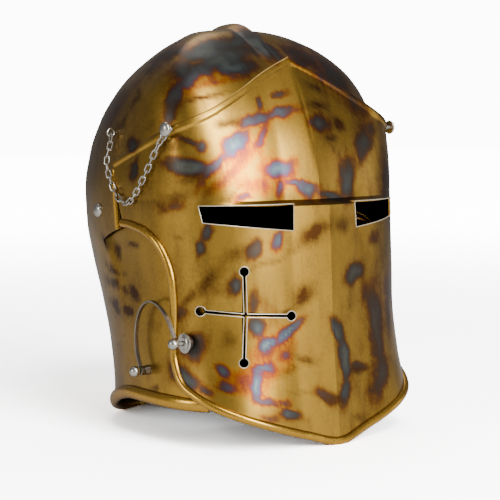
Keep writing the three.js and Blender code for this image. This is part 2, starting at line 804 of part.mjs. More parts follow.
// Two crossed slots with a round hole at each end.
function breathCutter() {
  const place = (h) => {
    const angle = visorAngleAt({ x: -h.x }, h.z);
    return visorPoint(-angle, h.z);
  };
  const [top, outer, inner, bottom] = BREATH_HOLES.map(place);
  const right = inner.clone().sub(outer).normalize();
  const upward = top.clone().sub(bottom).normalize();
  const square = right.clone().cross(upward).normalize();
  const up = square.clone().cross(right).normalize();
  const middle = outer.clone().add(inner).multiplyScalar(0.5);
  const flat = (p) => {
    const d = p.clone().sub(middle);
    return new THREE.Vector2(d.dot(right), d.dot(up));
  };
  const basis = new THREE.Matrix4().makeBasis(right, up, square).setPosition(middle);
  const cut = (shape) => {
    const prism = new THREE.ExtrudeGeometry(shape, { depth: CUT_DEPTH, bevelEnabled: false });
    return solid(prism.translate(0, 0, -CUT_DEPTH / 2).applyMatrix4(basis));
  };
  const bar = (a, b) => {
    const d = b.clone().sub(a).normalize();
    const n = new THREE.Vector2(-d.y, d.x).multiplyScalar(BREATH.slotWidth / 2);
    return cut(new THREE.Shape([a.clone().add(n), b.clone().add(n), b.clone().sub(n), a.clone().sub(n)]));
  };
  let cutter = bar(flat(outer), flat(inner)).add(bar(flat(bottom), flat(top)));
  for (const p of [top, outer, inner, bottom].map(flat)) {
    const round = [];
    for (let k = 0; k < TURNED_SIDES; k += 1) {
      const a = (k / TURNED_SIDES) * TAU;
      const rim = new THREE.Vector2(Math.cos(a), Math.sin(a)).multiplyScalar(BREATH.holeRadius);
      round.push(rim.add(p));
    }
    cutter = cutter.add(cut(new THREE.Shape(round)));
  }
  return cutter;
}

// Inner end of a stud or rivet: a low peened head that steps down to the shaft.
function peenProfile(peen, inside, shaft) {
  return [
    { r: 0, out: inside },
    { r: peen.radius, out: inside + peen.edge },
    { r: peen.radius, out: inside + peen.height },
    { r: shaft, out: inside + peen.height },
  ];
}

// Temple stud: a peened inner head, the hinge shaft, a neck for the chain and
// a domed outer head.
function templeStud(side) {
  const p = PIVOT_STUD;
  const profile = [
    ...peenProfile(PEEN.temple, p.inside, p.shaft),
    { r: p.shaft, out: p.neckEnd },
    { r: p.head - p.rim, out: p.neckEnd },
    ...domeProfile(p.head, p.neckEnd + p.rim, p.dome - p.rim, 3),
  ];
  return turned(side, PIVOT, profile, TURNED_SIDES);
}

function sideRivet(side) {
  const p = SIDE_RIVET;
  const profile = [
    ...peenProfile(PEEN.rivet, p.inside, p.shaft),
    { r: p.shaft, out: p.seat },
    ...domeProfile(p.head, p.seat, p.dome, 3),
  ];
  return turned(side, SIDE_RIVET, profile, TURNED_SIDES);
}

// Ball stud profile: the ball starts where it meets the shaft.
function ballProfile(shaft, radius, centre, steps) {
  const start = Math.asin(shaft / radius);
  const points = [];
  for (let k = 0; k <= steps; k += 1) {
    const a = Math.PI - start - ((Math.PI - start) * k) / steps;
    points.push({ r: k === steps ? 0 : radius * Math.sin(a), out: centre + radius * Math.cos(a) });
  }
  return points;
}

function hookStud() {
  const p = HOOK_STUD;
  const profile = [
    ...peenProfile(PEEN.ball, p.inside, p.shaft),
    { r: p.shaft, out: p.seat },
    { r: p.collarFoot, out: p.seat },
    { r: p.collarTop, out: p.eyeStart },
    { r: p.shaft, out: p.eyeStart },
    ...ballProfile(p.shaft, p.ball, p.ballX, 5),
  ];
  return turned(-1, HOOK_STUD, profile, TURNED_SIDES);
}

function catchStud() {
  const p = CATCH;
  const profile = [
    ...peenProfile(PEEN.ball, p.inside, p.shaft),
    ...ballProfile(p.shaft, p.ball, p.ballX, 5),
  ];
  return turned(-1, CATCH, profile, TURNED_SIDES);
}

// Washer under the catch ball, with a raised inner ring.
function catchWasher() {
  const p = CATCH_WASHER;
  const profile = [
    { r: p.hole, out: p.from },
    { r: p.radius, out: p.from },
    { r: p.radius, out: p.from + p.thickness },
    { r: p.ring, out: p.from + p.thickness },
    { r: p.ring - 0.5, out: p.from + p.thickness + p.ringRise },
    { r: p.hole, out: p.from + p.thickness + p.ringRise },
    { r: p.hole, out: p.from },
  ];
  return turned(-1, CATCH, profile, 12);
}

// Hook: a flat strip on edge, its lower end rolled into an eye on the stud.
function hookSolid() {
  const middle = sideCurve(HOOK_ROUTE, 20);
  const half = HOOK.thickness / 2;
  const left = [];
  const right = [];
  middle.forEach((p, k) => {
    const before = middle[Math.max(0, k - 1)];
    const after = middle[Math.min(middle.length - 1, k + 1)];
    const run = Math.hypot(after.y - before.y, after.z - before.z);
    const n = { y: -(after.z - before.z) / run, z: (after.y - before.y) / run };
    left.push({ y: p.y + n.y * half, z: p.z + n.z * half });
    right.push({ y: p.y - n.y * half, z: p.z - n.z * half });
  });
  const strip = solid(sidePrism([...left, ...right.reverse()], -HOOK.outer, -HOOK.inner));
  const ring = [
    { r: HOOK.eye - half, out: HOOK.inner },
    { r: HOOK.eye + half, out: HOOK.inner },
    { r: HOOK.eye + half, out: HOOK.outer },
    { r: HOOK.eye - half, out: HOOK.outer },
    { r: HOOK.eye - half, out: HOOK.inner },
  ];
  return strip.add(solid(turned(-1, HOOK_STUD, ring, 12)));
}

// Closed round-ended loop of wire in the local XZ plane, long along Z.
function wireLoop(halfWidth, halfLength, wire, arcSteps, sides) {
  const straight = halfLength - halfWidth;
  const path = [];
  for (const end of [1, -1]) {
    for (let k = 0; k <= arcSteps; k += 1) {
      const a = (k / arcSteps) * Math.PI;
      const x = halfWidth * Math.cos(a);
      const z = straight + halfWidth * Math.sin(a);
      path.push(new THREE.Vector3(end * x, 0, end * z));
    }
  }
  const n = path.length;
  const positions = [];
  const faces = [];
  path.forEach((p, i) => {
    const along = path[(i + 1) % n].clone().sub(path[(i + n - 1) % n]).normalize();
    const out = new THREE.Vector3(along.z, 0, -along.x);
    for (let k = 0; k < sides; k += 1) {
      const a = (k / sides) * TAU;
      const q = p.clone().addScaledVector(out, wire * Math.cos(a));
      positions.push(q.x, q.y + wire * Math.sin(a), q.z);
      const next = (k + 1) % sides;
      const row = i * sides;
      const ahead = ((i + 1) % n) * sides;
      faces.push(row + k, row + next, ahead + next, row + k, ahead + next, ahead + k);
    }
  });
  return outward(toGeometry(positions, faces));
}

// Eye pin that carries the chain's first link: a ring on a shank through the
// skull, with a small inner head.
function eyePin() {
  const p = EYE_PIN;
  const ring = wireLoop(p.ring, p.ring, p.wire, 5, LINK.sides).translate(-p.reach, p.y, p.z);
  const profile = [
    ...peenProfile(PEEN.eye, p.inside, p.wire),
    { r: p.wire, out: p.reach - p.ring },
    { r: 0, out: p.reach - p.ring + 0.2 },
  ];
  return solid(ring).add(solid(turned(-1, EYE_PIN, profile, 8)));
}

// Links evenly spaced along the route, each turned half a right angle to
// either side of the chain's lie, so that neighbours cross at right angles.
// Near its ends the chain twists, to meet the eye pin and end link squarely.
function chainLinks() {
  const route = new THREE.CatmullRomCurve3(
    CHAIN_ROUTE.map((p) => new THREE.Vector3(p.x, p.y, p.z)),
    false,
    'centripetal',
  );
  const pitch = 2 * LINK.halfLength - 2 * LINK.wire - LINK.slack;
  const count = 2 * Math.round(route.getLength() / pitch / 2);
  const links = [];
  for (let k = 0; k <= count; k += 1) {
    const t = k / count;
    const along = route.getTangentAt(t);
    const face = new THREE.Vector3(-1, 0, 0);
    face.addScaledVector(along, -face.dot(along)).normalize();
    const twist = Math.max(0, 1 - (count - k) / LINK.endRun) - Math.max(0, 1 - k / LINK.endRun);
    const turn = (k % 2 === 0 ? 1 : -1) * LINK.turn + LINK.endTurn * twist;
    face.applyAxisAngle(along, THREE.MathUtils.degToRad(turn));
    const wide = face.clone().cross(along);
    const placed = new THREE.Matrix4().makeBasis(wide, face, along).setPosition(route.getPointAt(t));
    const loop = wireLoop(LINK.halfWidth, LINK.halfLength, LINK.wire, LINK.arcSteps, LINK.sides);
    links.push(outward(loop.applyMatrix4(placed)));
  }
  return links;
}

// Longer end link that hangs round the neck of the right temple stud.
function endLink() {
  const last = CHAIN_ROUTE[CHAIN_ROUTE.length - 1];
  const neck = new THREE.Vector3(-END_LINK.x, PIVOT.y, PIVOT.z);
  const along = neck.clone().sub(new THREE.Vector3(last.x, last.y, last.z)).normalize();
  const wide = new THREE.Vector3(-1, 0, 0).cross(along).normalize();
  const face = along.clone().cross(wide);
  const hang = END_LINK.halfLength - LINK.wire - GAP - PIVOT_STUD.shaft;
  const centre = neck.addScaledVector(along, -hang);
  const placed = new THREE.Matrix4().makeBasis(wide, face, along).setPosition(centre);
  const loop = wireLoop(END_LINK.halfWidth, END_LINK.halfLength, LINK.wire, 5, LINK.sides);
  return outward(loop.applyMatrix4(placed));
}

// Materials

const brass = new THREE.MeshStandardMaterial({ color: 0xa5812f, roughness: 0.38, metalness: 0.9 });
const nickel = new THREE.MeshStandardMaterial({ color: 0xb9b2a6, roughness: 0.32, metalness: 0.95 });

const helmet = new THREE.Group();
helmet.position.set(-CENTRE_X, -CENTRE_Y, 0);

function piece(name, geometry, material) {
  const mesh = new THREE.Mesh(geometry, material);
  mesh.name = name;
  helmet.add(mesh);
  return mesh;
}

piece('skull', fromSolid(skullSolid()), brass);
piece('visor', fromSolid(visorSolid()), brass);
for (const [side, name] of [[-1, 'right'], [1, 'left']]) {
  piece(`temple_stud_${name}`, templeStud(side), nickel);
  piece(`side_rivet_${name}`, sideRivet(side), nickel);
}
piece('hook_stud', hookStud(), nickel);
piece('hook', fromSolid(hookSolid()), nickel);
piece('catch_stud', catchStud(), nickel);
piece('catch_washer', catchWasher(), nickel);
piece('chain_eye_pin', fromSolid(eyePin()), nickel);
chainLinks().forEach((link, k) => piece(`chain_link_${String(k + 1).padStart(2, '0')}`, link, nickel));
piece('chain_end_link', endLink(), nickel);

export default helmet;
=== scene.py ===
# %% [markdown]
# # A visored barbute in patinated brass
#
# The helmet is two thin shells of brass sheet: a skull with a low comb, and a keeled visor that turns on two
# temple studs. Small nickel fittings sit on them: studs, rivets, a hook latch and a pin chain. The packed
# model already fixes every size and place, so this script only makes the fine surfaces and their finish.
# Lengths in the tables below are millimetres in the helmet's own drawing, and `place` turns them into the
# frame's metres.

import math

import bmesh
import bpy
import numpy as np
from mathutils import Matrix, Vector, noise


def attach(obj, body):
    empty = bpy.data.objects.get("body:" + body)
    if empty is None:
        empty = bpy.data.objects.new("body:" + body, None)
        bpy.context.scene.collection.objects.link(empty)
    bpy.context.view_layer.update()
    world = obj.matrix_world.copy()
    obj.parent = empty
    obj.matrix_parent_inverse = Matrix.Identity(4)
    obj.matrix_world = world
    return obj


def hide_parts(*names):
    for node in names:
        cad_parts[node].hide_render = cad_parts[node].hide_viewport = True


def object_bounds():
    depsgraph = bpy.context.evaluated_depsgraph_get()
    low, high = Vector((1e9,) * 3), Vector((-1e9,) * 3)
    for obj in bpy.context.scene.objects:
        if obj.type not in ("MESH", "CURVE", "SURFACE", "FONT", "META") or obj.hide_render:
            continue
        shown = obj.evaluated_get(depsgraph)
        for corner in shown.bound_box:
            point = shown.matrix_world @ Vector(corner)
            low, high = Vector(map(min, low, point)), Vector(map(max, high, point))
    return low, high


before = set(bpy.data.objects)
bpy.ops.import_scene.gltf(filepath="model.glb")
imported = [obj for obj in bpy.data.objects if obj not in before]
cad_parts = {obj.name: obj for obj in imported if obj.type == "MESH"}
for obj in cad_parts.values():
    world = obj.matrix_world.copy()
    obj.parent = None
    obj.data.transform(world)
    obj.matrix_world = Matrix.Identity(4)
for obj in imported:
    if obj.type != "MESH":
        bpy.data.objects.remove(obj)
CAD_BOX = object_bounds()

MM = 0.001
MIDDLE_X = 3.05  # the helmet's middle plane stands this far to +X of the frame's origin
MIDDLE_Y = 6.5  # and its drawing's zero depth this far to -Y
SHEET = 1.4
SIDEWAYS = Vector((1, 0, 0))
UPWARD = Vector((0, 0, 1))


def place(x, y, z):
    """A point of the drawing, in millimetres, as a point of the frame, in metres."""
    return Vector((x + MIDDLE_X, y - MIDDLE_Y, z)) * MM


# %% [markdown]
# ## Camera
#
# A product photo is taken with a long lens at about the object's own height, so that its uprights stay
# upright. The camera stands at the front right of the helmet, a little above it, and looks slightly down.
# Its place is also where the chart of the torch patches is laid on from, further below.

# %% Camera
VIEW_PLACE = Vector((-717.3, -968.0, 250.0))
CAMERA_TURN = -37.0
CAMERA_DIP = 5.404
LENS = 107.67
SENSOR = 36.0

camera_data = bpy.data.cameras.new("camera")
camera_data.lens = LENS
camera_data.sensor_width = SENSOR
camera = bpy.data.objects.new("camera", camera_data)
camera.location = place(*VIEW_PLACE)
camera.rotation_euler = (math.radians(90 - CAMERA_DIP), 0, math.radians(CAMERA_TURN))
bpy.context.collection.objects.link(camera)
bpy.context.scene.camera = camera
print("camera", [round(c, 3) for c in camera.location])

# %% [markdown]
# ## Node helpers
#
# Shader nodes could be added and linked one by one, which takes four or five lines each. A short function
# that takes a node's settings and inputs keeps each effect on one line, and a link is made wherever an input
# is given as another node's socket.

# %% Node helpers
def input_of(made, key):
    """A node's input by name, with _ for a space, or by number after an x."""
    by_number = key[0] == "x" and key[1:].isdigit()
    return made.inputs[int(key[1:]) if by_number else key.replace("_", " ")]


def node(tree, kind, settings=(), **inputs):
    """A shader node with its inputs set to values or linked from sockets."""
    made = tree.nodes.new("ShaderNode" + kind)
    for key, value in dict(settings).items():
        setattr(made, key, value)
    for key, value in inputs.items():
        socket = input_of(made, key)
        if isinstance(value, bpy.types.NodeSocket):
            tree.links.new(value, socket)
        else:
            socket.default_value = value
    return made


def blend(tree, amount, first, second, kind="MIX"):
    made = node(tree, "Mix", {"data_type": "RGBA", "blend_type": kind}, x0=amount, x6=first, x7=second)
    return made.outputs[2]


def shader_material(name):
    material = bpy.data.materials.new(name)
    material.use_nodes = True
    tree = material.node_tree
    return material, tree, tree.nodes["Principled BSDF"]


print("node helpers", [f.__name__ for f in (node, blend, shader_material)])

# %% [markdown]
# ## Floor
#
# The helmet stands on a white sweep that runs out into the background without an edge. A curved sweep would
# show in the brass as a bright band, because polished metal mirrors what stands round it. So the floor is a
# large flat sheet that is overexposed only to the camera, while the metal sees it as plain and pale, and far
# from the helmet it glows until it is as white as the background.

# %% Floor
FLOOR_SIZE = 12.0
FLOOR_PLAIN = 0.85
FLOOR_WHITE = 7.0
WORLD_WHITE = 12.0
GLOW_FROM = 0.35
GLOW_TO = 2.4

floor_mesh = bmesh.new()
bmesh.ops.create_grid(floor_mesh, x_segments=1, y_segments=1, size=FLOOR_SIZE / 2)
floor_data = bpy.data.meshes.new("floor")
floor_mesh.to_mesh(floor_data)
floor_mesh.free()
floor = bpy.data.objects.new("floor", floor_data)
bpy.context.collection.objects.link(floor)
print("floor", FLOOR_SIZE, "m wide")


# %% Floor's paint
def seen_by_camera(tree, plain, bright):
    """A value that is brighter to the camera than to the metal, as on an overexposed white sweep."""
    camera_ray = node(tree, "LightPath").outputs["Is Camera Ray"]
    return blend(tree, camera_ray, (plain, plain, plain, 1), (bright, bright, bright, 1))


floor_paint, tree, shader = shader_material("pale floor")
shader.inputs["Roughness"].default_value = 0.9
shader.inputs["Specular IOR Level"].default_value = 0.1
shader.inputs["Emission Strength"].default_value = 1.0
tree.links.new(seen_by_camera(tree, FLOOR_PLAIN, FLOOR_WHITE), shader.inputs["Base Color"])
floor_place = node(tree, "TexCoord").outputs["Object"]
distance = node(tree, "VectorMath", {"operation": "LENGTH"}, x0=floor_place).outputs["Value"]
soft = {"interpolation_type": "SMOOTHSTEP"}
far = node(tree, "MapRange", soft, Value=distance, From_Min=GLOW_FROM, From_Max=GLOW_TO)
white = seen_by_camera(tree, 0.0, WORLD_WHITE)
glow = node(tree, "VectorMath", {"operation": "SCALE"}, x0=white, Scale=far.outputs["Result"])
tree.links.new(glow.outputs["Vector"], shader.inputs["Emission Color"])
floor_data.materials.append(floor_paint)
print("floor paint", floor_paint.name)

# %% [markdown]
# ## Light
#
# Brass is a mirror with a colour, so what the lights look like in it matters more than how strong they are.
# One large light near the middle puts a broad soft highlight beside the visor's keel and leaves its other
# face dark, so that the fold is crisp. Weak lights above, behind and at both sides round the dome and the
# cheek, and the room itself is a dark grey.

# %% Lights and world
# name: place in metres, the point it aims at, size in metres, watts
LIGHTS = {
    "front": ((0.12, -1.9, 0.95), (0, 0, 0.15), 0.9, 40),
    "high": ((-0.2, -1.2, 1.8), (0, 0, 0.2), 0.7, 18),
    "top": ((0.4, 0.9, 1.8), (0, 0, 0.1), 1.0, 8),
    "side": ((-1.9, 0.2, 0.7), (0, 0, 0.12), 0.6, 9),
    "right": ((1.7, -0.9, 0.5), (0, 0, 0.12), 0.6, 2),
}
WORLD_GREY = 0.24

for light_name, (spot, target, size, watts) in LIGHTS.items():
    light_data = bpy.data.lights.new(light_name, "AREA")
    light_data.size = size
    light_data.energy = watts
    light = bpy.data.objects.new(light_name, light_data)
    light.location = spot
    light.rotation_euler = (Vector(target) - Vector(spot)).to_track_quat("-Z", "Y").to_euler()
    bpy.context.collection.objects.link(light)

world = bpy.data.worlds.new("studio")
bpy.context.scene.world = world
world.use_nodes = True
background = world.node_tree.nodes["Background"]
room = seen_by_camera(world.node_tree, WORLD_GREY, WORLD_WHITE)
world.node_tree.links.new(room, background.inputs["Color"])
print("lights", list(LIGHTS))

# %% [markdown]
# ## Curves through tables
#
# The helmet's walls are given by a few plan sections at named heights. Straight steps between them would
# show as facets in polished metal, and a plain spline would overshoot. A smooth monotone curve through each
# column of the table has neither fault. Lines in space, such as the brow's edge, are smoothed in the same
# way.

# %% Curves through tables
def smooth(t):
    """0 to 1 with a soft start and end."""
    t = min(1.0, max(0.0, t))
    return t * t * (3 - 2 * t)


def mix(a, b, t):
    return a + (b - a) * t


def hermite(a, leave, b, arrive, t):
    """Between a and b, leaving and arriving in the given directions."""
    start = a * (2 * t**3 - 3 * t**2 + 1) + leave * (t**3 - 2 * t**2 + t)
    return start + b * (3 * t**2 - 2 * t**3) + arrive * (t**3 - t**2)


def curve_value(keys, values, key):
    """Value on the smooth monotone curve through rising keys."""
    if key <= keys[0]:
        return values[0]
    if key >= keys[-1]:
        return values[-1]
    i = 0
    while keys[i + 1] < key:
        i += 1

    def slope(k):
        return (values[k + 1] - values[k]) / (keys[k + 1] - keys[k])

    def tangent(k):
        if k == 0:
            return slope(0)
        if k == len(keys) - 1:
            return slope(k - 1)
        before, after = slope(k - 1), slope(k)
        return 0.0 if before * after <= 0 else 2 * before * after / (before + after)

    step = keys[i + 1] - keys[i]
    return hermite(values[i], tangent(i) * step, values[i + 1], tangent(i + 1) * step, (key - keys[i]) / step)


print("halfway value", round(curve_value([0, 1, 2], [0, 1, 4], 1.5), 3))


# %% Smooth lines and rounded sections
HALVINGS = 40


def flowing(points, steps):
    """A dense smooth line through points, with steps pieces between each pair."""
    line = []
    for k in range(len(points) - 1):
        a, b = Vector(points[k]), Vector(points[k + 1])
        before = Vector(points[k - 1]) if k > 0 else a + (a - b)
        after = Vector(points[k + 2]) if k + 2 < len(points) else b + (b - a)
        reach = (b - a).length ** 0.5
        reach_before = max(1e-6, (a - before).length ** 0.5)
        reach_after = max(1e-6, (after - b).length ** 0.5)
        leave = (a - before) / reach_before - (b - before) / (reach_before + reach) + (b - a) / reach
        arrive = (b - a) / reach - (after - a) / (reach + reach_after) + (after - b) / reach_after
        for s in range(steps):
            line.append(hermite(a, leave * reach, b, arrive * reach, s / steps))
    line.append(Vector(points[-1]))
    return line


def evenly(points, count, labels=None):
    """count + 1 of the given points, evenly spaced along them, or their labels."""
    reach = [0.0]
    for a, b in zip(points, points[1:]):
        reach.append(reach[-1] + (b - a).length)
    picked = []
    k = 0
    for i in range(count + 1):
        want = reach[-1] * i / count - 1e-9
        while reach[k] < want and k < len(points) - 1:
            k += 1
        picked.append(labels[k] if labels else points[k])
    return picked


def side_curve(rows, steps):
    """A smooth line through (y, z) rows of the side drawing."""
    return [(p.y, p.z) for p in flowing([(0, y, z) for y, z in rows], steps)]


def rounded(angle, half, reach, power):
    """Point of a rounded section: angle 0 is straight ahead, a quarter turn is the side."""
    s, c = math.sin(angle), math.cos(angle)
    x = math.copysign(half * abs(s) ** (2 / power), s)
    y = -math.copysign(reach * abs(c) ** (2 / power), c)
    return x, y


def settled(low, high, short):
    """The value at which short(value) turns false, found by halving the range."""
    for _ in range(HALVINGS):
        middle = (low + high) / 2
        low, high = (middle, high) if short(middle) else (low, middle)
    return (low + high) / 2


print("square root of 2", round(settled(1.0, 2.0, lambda x: x * x < 2), 6))

# %% [markdown]
# ## Scribing and cutting sheet
#
# A smith scribes an outline on the sheet, saws along it and files the edge. A boolean would cut as well, but
# it leaves a fragile mesh on an open sheet. Here bisect_plane cuts the faces near each step of the outline,
# and then the faces whose centres lie inside it are deleted, so that the edge follows the scribed line
# exactly.

# %% Scribing and cutting sheet
CUT_REACH = 5 * MM  # faces this near to a step of the outline are cut by it
NOTHING = 1e-7


def scribed_steps(outline, across):
    """Each step of a closed outline: its start, its direction on the sheet and its length."""
    for a, b in zip(outline, outline[1:] + outline[:1]):
        along = (b - a) - across * (b - a).dot(across)
        if along.length > NOTHING:
            yield a, along.normalized(), along.length


def cut_along(mesh, a, along, length, across, only):
    near = []
    for face in mesh.faces:
        centre = face.calc_center_median()
        away = centre - a
        away -= across * away.dot(across)
        run = min(length, max(0.0, away.dot(along)))
        if (away - along * run).length < CUT_REACH and (only is None or only(centre)):
            near.append(face)
    parts = set(near)
    for face in near:
        parts.update(face.edges)
        parts.update(face.verts)
    if near:
        normal = along.cross(across).normalized()
        bmesh.ops.bisect_plane(mesh, geom=list(parts), dist=NOTHING, plane_co=a, plane_no=normal)


def cut_away(mesh, outline, across, keep=False, only=None):
    """Scribes a closed outline on the sheet, seen along across, and takes the faces inside it away.
    With keep it takes those outside away. Faces that only(face centre) refuses are left alone."""
    for a, along, length in scribed_steps(outline, across):
        cut_along(mesh, a, along, length, across, only)
    first = across.cross(UPWARD if abs(across.z) < 0.9 else Vector((0, 1, 0))).normalized()
    second = across.cross(first).normalized()
    flat = [(p.dot(first), p.dot(second)) for p in outline]

    def inside(centre):
        x, y = centre.dot(first), centre.dot(second)
        hit = False
        for (x1, y1), (x2, y2) in zip(flat, flat[1:] + flat[:1]):
            if (y1 > y) != (y2 > y) and x < (x2 - x1) * (y - y1) / (y2 - y1) + x1:
                hit = not hit
        return hit

    waste = []
    for face in mesh.faces:
        centre = face.calc_center_median()
        if (only is None or only(centre)) and inside(centre) != keep:
            waste.append(face)
    bmesh.ops.delete(mesh, geom=waste, context="FACES")


def side_outline(rows):
    """Points from (y, z) rows of the side drawing."""
    return [place(0, y, z) for y, z in rows]


print("cutting reach", CUT_REACH)

# %% [markdown]
# ## Sheets, walls and rods
#
# Real sheet has an outside, an inside and an edge, and each is finished in its own way. A one-sided grid is
# shaped first and cut, and then the Solidify modifier gives it its wall on the inner side, so that the
# outside stays exactly where it was drawn. Rolled borders are rods: a ring of vertices that is extruded and
# carried from one station of a line to the next.

# %% Sheets and walls
OUTSIDE, INSIDE, RIM, CUT_EDGE = range(4)  # each sheet's materials in order
SLIVER = 0.03 * MM


def grid_sheet(columns, rows, shape):
    """A one-sided sheet whose point at (u, v), both 0 to 1, is shape(u, v)."""
    mesh = bmesh.new()
    bmesh.ops.create_grid(mesh, x_segments=columns, y_segments=rows, size=0.5)
    for vert in mesh.verts:
        u = round((vert.co.x + 0.5) * columns) / columns
        v = round((vert.co.y + 0.5) * rows) / rows
        vert.co = shape(u, v)
    return mesh


def thicken(mesh, edges):
    """Gives the sheet its wall on the inner side. Its cut edges get the given material."""
    bmesh.ops.dissolve_degenerate(mesh, dist=SLIVER, edges=mesh.edges)
    data = bpy.data.meshes.new("sheet")
    mesh.to_mesh(data)
    mesh.free()
    blank = bpy.data.objects.new("sheet", data)
    for _ in (OUTSIDE, INSIDE, RIM):  # the modifier only gives out slots that the sheet has
        data.materials.append(None)
    bpy.context.collection.objects.link(blank)
    wall = blank.modifiers.new("wall", "SOLIDIFY")
    wall.thickness = SHEET * MM
    wall.offset = -1
    wall.material_offset = INSIDE
    wall.material_offset_rim = edges
    graph = bpy.context.evaluated_depsgraph_get()
    made = bmesh.new()
    made.from_mesh(blank.evaluated_get(graph).to_mesh())
    bpy.data.objects.remove(blank)
    return made


print("wall", SHEET, "mm")


# %% Rods
def ellipse(wide, tall, sides=16):
    """Section of a rod, in millimetres: half measures across and along its up direction."""
    turns = [2 * math.pi * k / sides for k in range(sides)]
    return [(wide * MM * math.cos(turn), tall * MM * math.sin(turn)) for turn in turns]


def rod(points, section, across=None, closed=False):
    """A rod with the given section along a line of points. Its section is drawn once, then extruded from
    station to station. across holds the section's first direction steady, as on a strip."""
    mesh = bmesh.new()
    count = len(points)
    stations = []
    side = across
    for k, point in enumerate(points):
        if closed:
            along = (points[(k + 1) % count] - points[k - 1]).normalized()
        else:
            along = (points[min(count - 1, k + 1)] - points[max(0, k - 1)]).normalized()
        side = side if side else along.orthogonal()
        side = (side - along * side.dot(along)).normalized()
        turn = Matrix((side, along.cross(side), along)).transposed().to_4x4()
        stations.append(Matrix.Translation(point) @ turn)
    ring = bmesh.ops.create_circle(mesh, segments=len(section), radius=1)["verts"]
    for vert, (wide, tall) in zip(ring, section):
        vert.co = stations[0] @ Vector((wide, tall, 0))
    first = last = list(mesh.edges)
    for before, after in zip(stations, stations[1:]):
        made = bmesh.ops.extrude_edge_only(mesh, edges=last)["geom"]
        last = [g for g in made if isinstance(g, bmesh.types.BMEdge)]
        verts = [g for g in made if isinstance(g, bmesh.types.BMVert)]
        bmesh.ops.transform(mesh, matrix=after @ before.inverted(), verts=verts)
    if closed:
        bmesh.ops.bridge_loops(mesh, edges=first + last)
    else:
        bmesh.ops.holes_fill(mesh, edges=[e for e in mesh.edges if e.is_boundary])
    bmesh.ops.recalc_face_normals(mesh, faces=mesh.faces)
    return mesh


def add_to(mesh, other, material=None):
    """Puts a second bmesh into the first. Its faces keep their materials, or all get the given one."""
    if material is not None:
        for face in other.faces:
            face.material_index = material
    data = bpy.data.meshes.new("added")
    other.to_mesh(data)
    other.free()
    mesh.from_mesh(data)
    bpy.data.meshes.remove(data)


print("a rod's section has", len(ellipse(1, 1)), "sides")

# %% [markdown]
# ## The skull
#
# The skull is one sheet over the whole head. Between two sections the half width, the reach forward and the
# reach back change as the square root of the depth below the crown, which is what makes the top a round cap
# and not a cone.

# %% Skull: its sections
SKULL_TOP_Z = 312.8
# height, middle in y, half width, reach forward and back, and how square the section is front and back
SKULL_SECTIONS = [
    (312.8, 8, 0, 0, 0, 2.3, 2.2),
    (310.5, 2, 33, 11, 27, 2.4, 2.2),
    (304, -7, 52, 14, 46, 2.7, 2.2),
    (296, -13, 66.5, 20, 67, 3, 2.2),
    (287, -16.5, 77, 29.5, 87, 3, 2.2),
    (275, -18, 89, 41, 104, 2.8, 2.2),
    (260, -18, 98.5, 52.5, 120, 2.7, 2.2),
    (240, -18, 104, 64, 142, 2.8, 2.2),
    (214, -18, 107.4, 72, 158, 3.2, 2.25),
    (186, -18, 108.4, 76, 163, 3, 2.35),
    (158, -18, 107.8, 78, 161, 3, 2.35),
    (130, -18, 106, 80, 151, 3, 2.35),
    (98, -18, 104, 82, 134, 3, 2.35),
    (64, -18, 102.8, 84, 118.5, 3, 2.35),
    (28, -18, 103, 87.5, 109, 3, 2.35),
    (-14, -18, 105, 90, 112, 3, 2.35),
]
DEPTHS = [math.sqrt(SKULL_TOP_Z - row[0]) for row in SKULL_SECTIONS]
SECTION_VALUES = list(zip(*SKULL_SECTIONS))[1:]
NECK_RIM = {"side": 33, "nape": 3.1, "fall_from": -6, "nape_y": 88, "soft_share": 0.6}
RIM_PASSES = 5


def skull_point(angle, z, inset=0.0):
    """Point of the skull's surface in millimetres: angle 0 is straight ahead."""
    depth = math.sqrt(max(0.0, SKULL_TOP_Z - z))
    values = [curve_value(DEPTHS, v, depth) for v in SECTION_VALUES]
    middle, half, front, back, front_power, back_power = values
    reach, power = (front, front_power) if math.cos(angle) > 0 else (back, back_power)
    x, y = rounded(angle, max(0.0, half - inset), max(0.0, reach - inset), power)
    return x, y + middle, z


def neck_rim_height(y):
    back = min(1.0, max(0.0, (y - NECK_RIM["fall_from"]) / (NECK_RIM["nape_y"] - NECK_RIM["fall_from"])))
    share = smooth(back) * NECK_RIM["soft_share"] + back * back * (1 - NECK_RIM["soft_share"])
    return mix(NECK_RIM["side"], NECK_RIM["nape"], share)


def rim_height_at(angle):
    """The rim's height depends on its depth and its depth on its height, so a few passes settle both."""
    z = NECK_RIM["side"]
    for _ in range(RIM_PASSES):
        z = neck_rim_height(skull_point(angle, z)[1])
    return z


print("widest", [round(c, 1) for c in skull_point(math.pi / 2, 186)])

# %% [markdown]
# ## The dome sheet
#
# A smith raises the dome from a flat disc with hammer blows, ring by ring. A grid is bent in the same way
# here: its columns become directions round the head, and its rows run from the crown down to the neck's
# edge. Rows that are evenly spaced in the square root of the depth keep the crown's faces small and even,
# and columns stand closer together near the middle plane, where the comb rises. The comb is then lifted
# along the surface's own normals.

# %% Skull: the dome and the back
SKULL_COLUMNS = 288
SKULL_ROWS = 104
WELD = 0.02 * MM  # points nearer than this become one
FRONT_CROWDING = 1.35
BACK_CROWDING = 1.1


def column_angle(u):
    """Angle of a column, 0 to 1 round the head, denser near the middle plane."""
    t = u * 4
    quarter = min(3, int(t))
    t -= quarter
    if quarter == 0:
        return math.pi / 2 * t**FRONT_CROWDING
    if quarter == 1:
        return math.pi - math.pi / 2 * (1 - t) ** BACK_CROWDING
    if quarter == 2:
        return math.pi + math.pi / 2 * t**BACK_CROWDING
    return 2 * math.pi - math.pi / 2 * (1 - t) ** FRONT_CROWDING


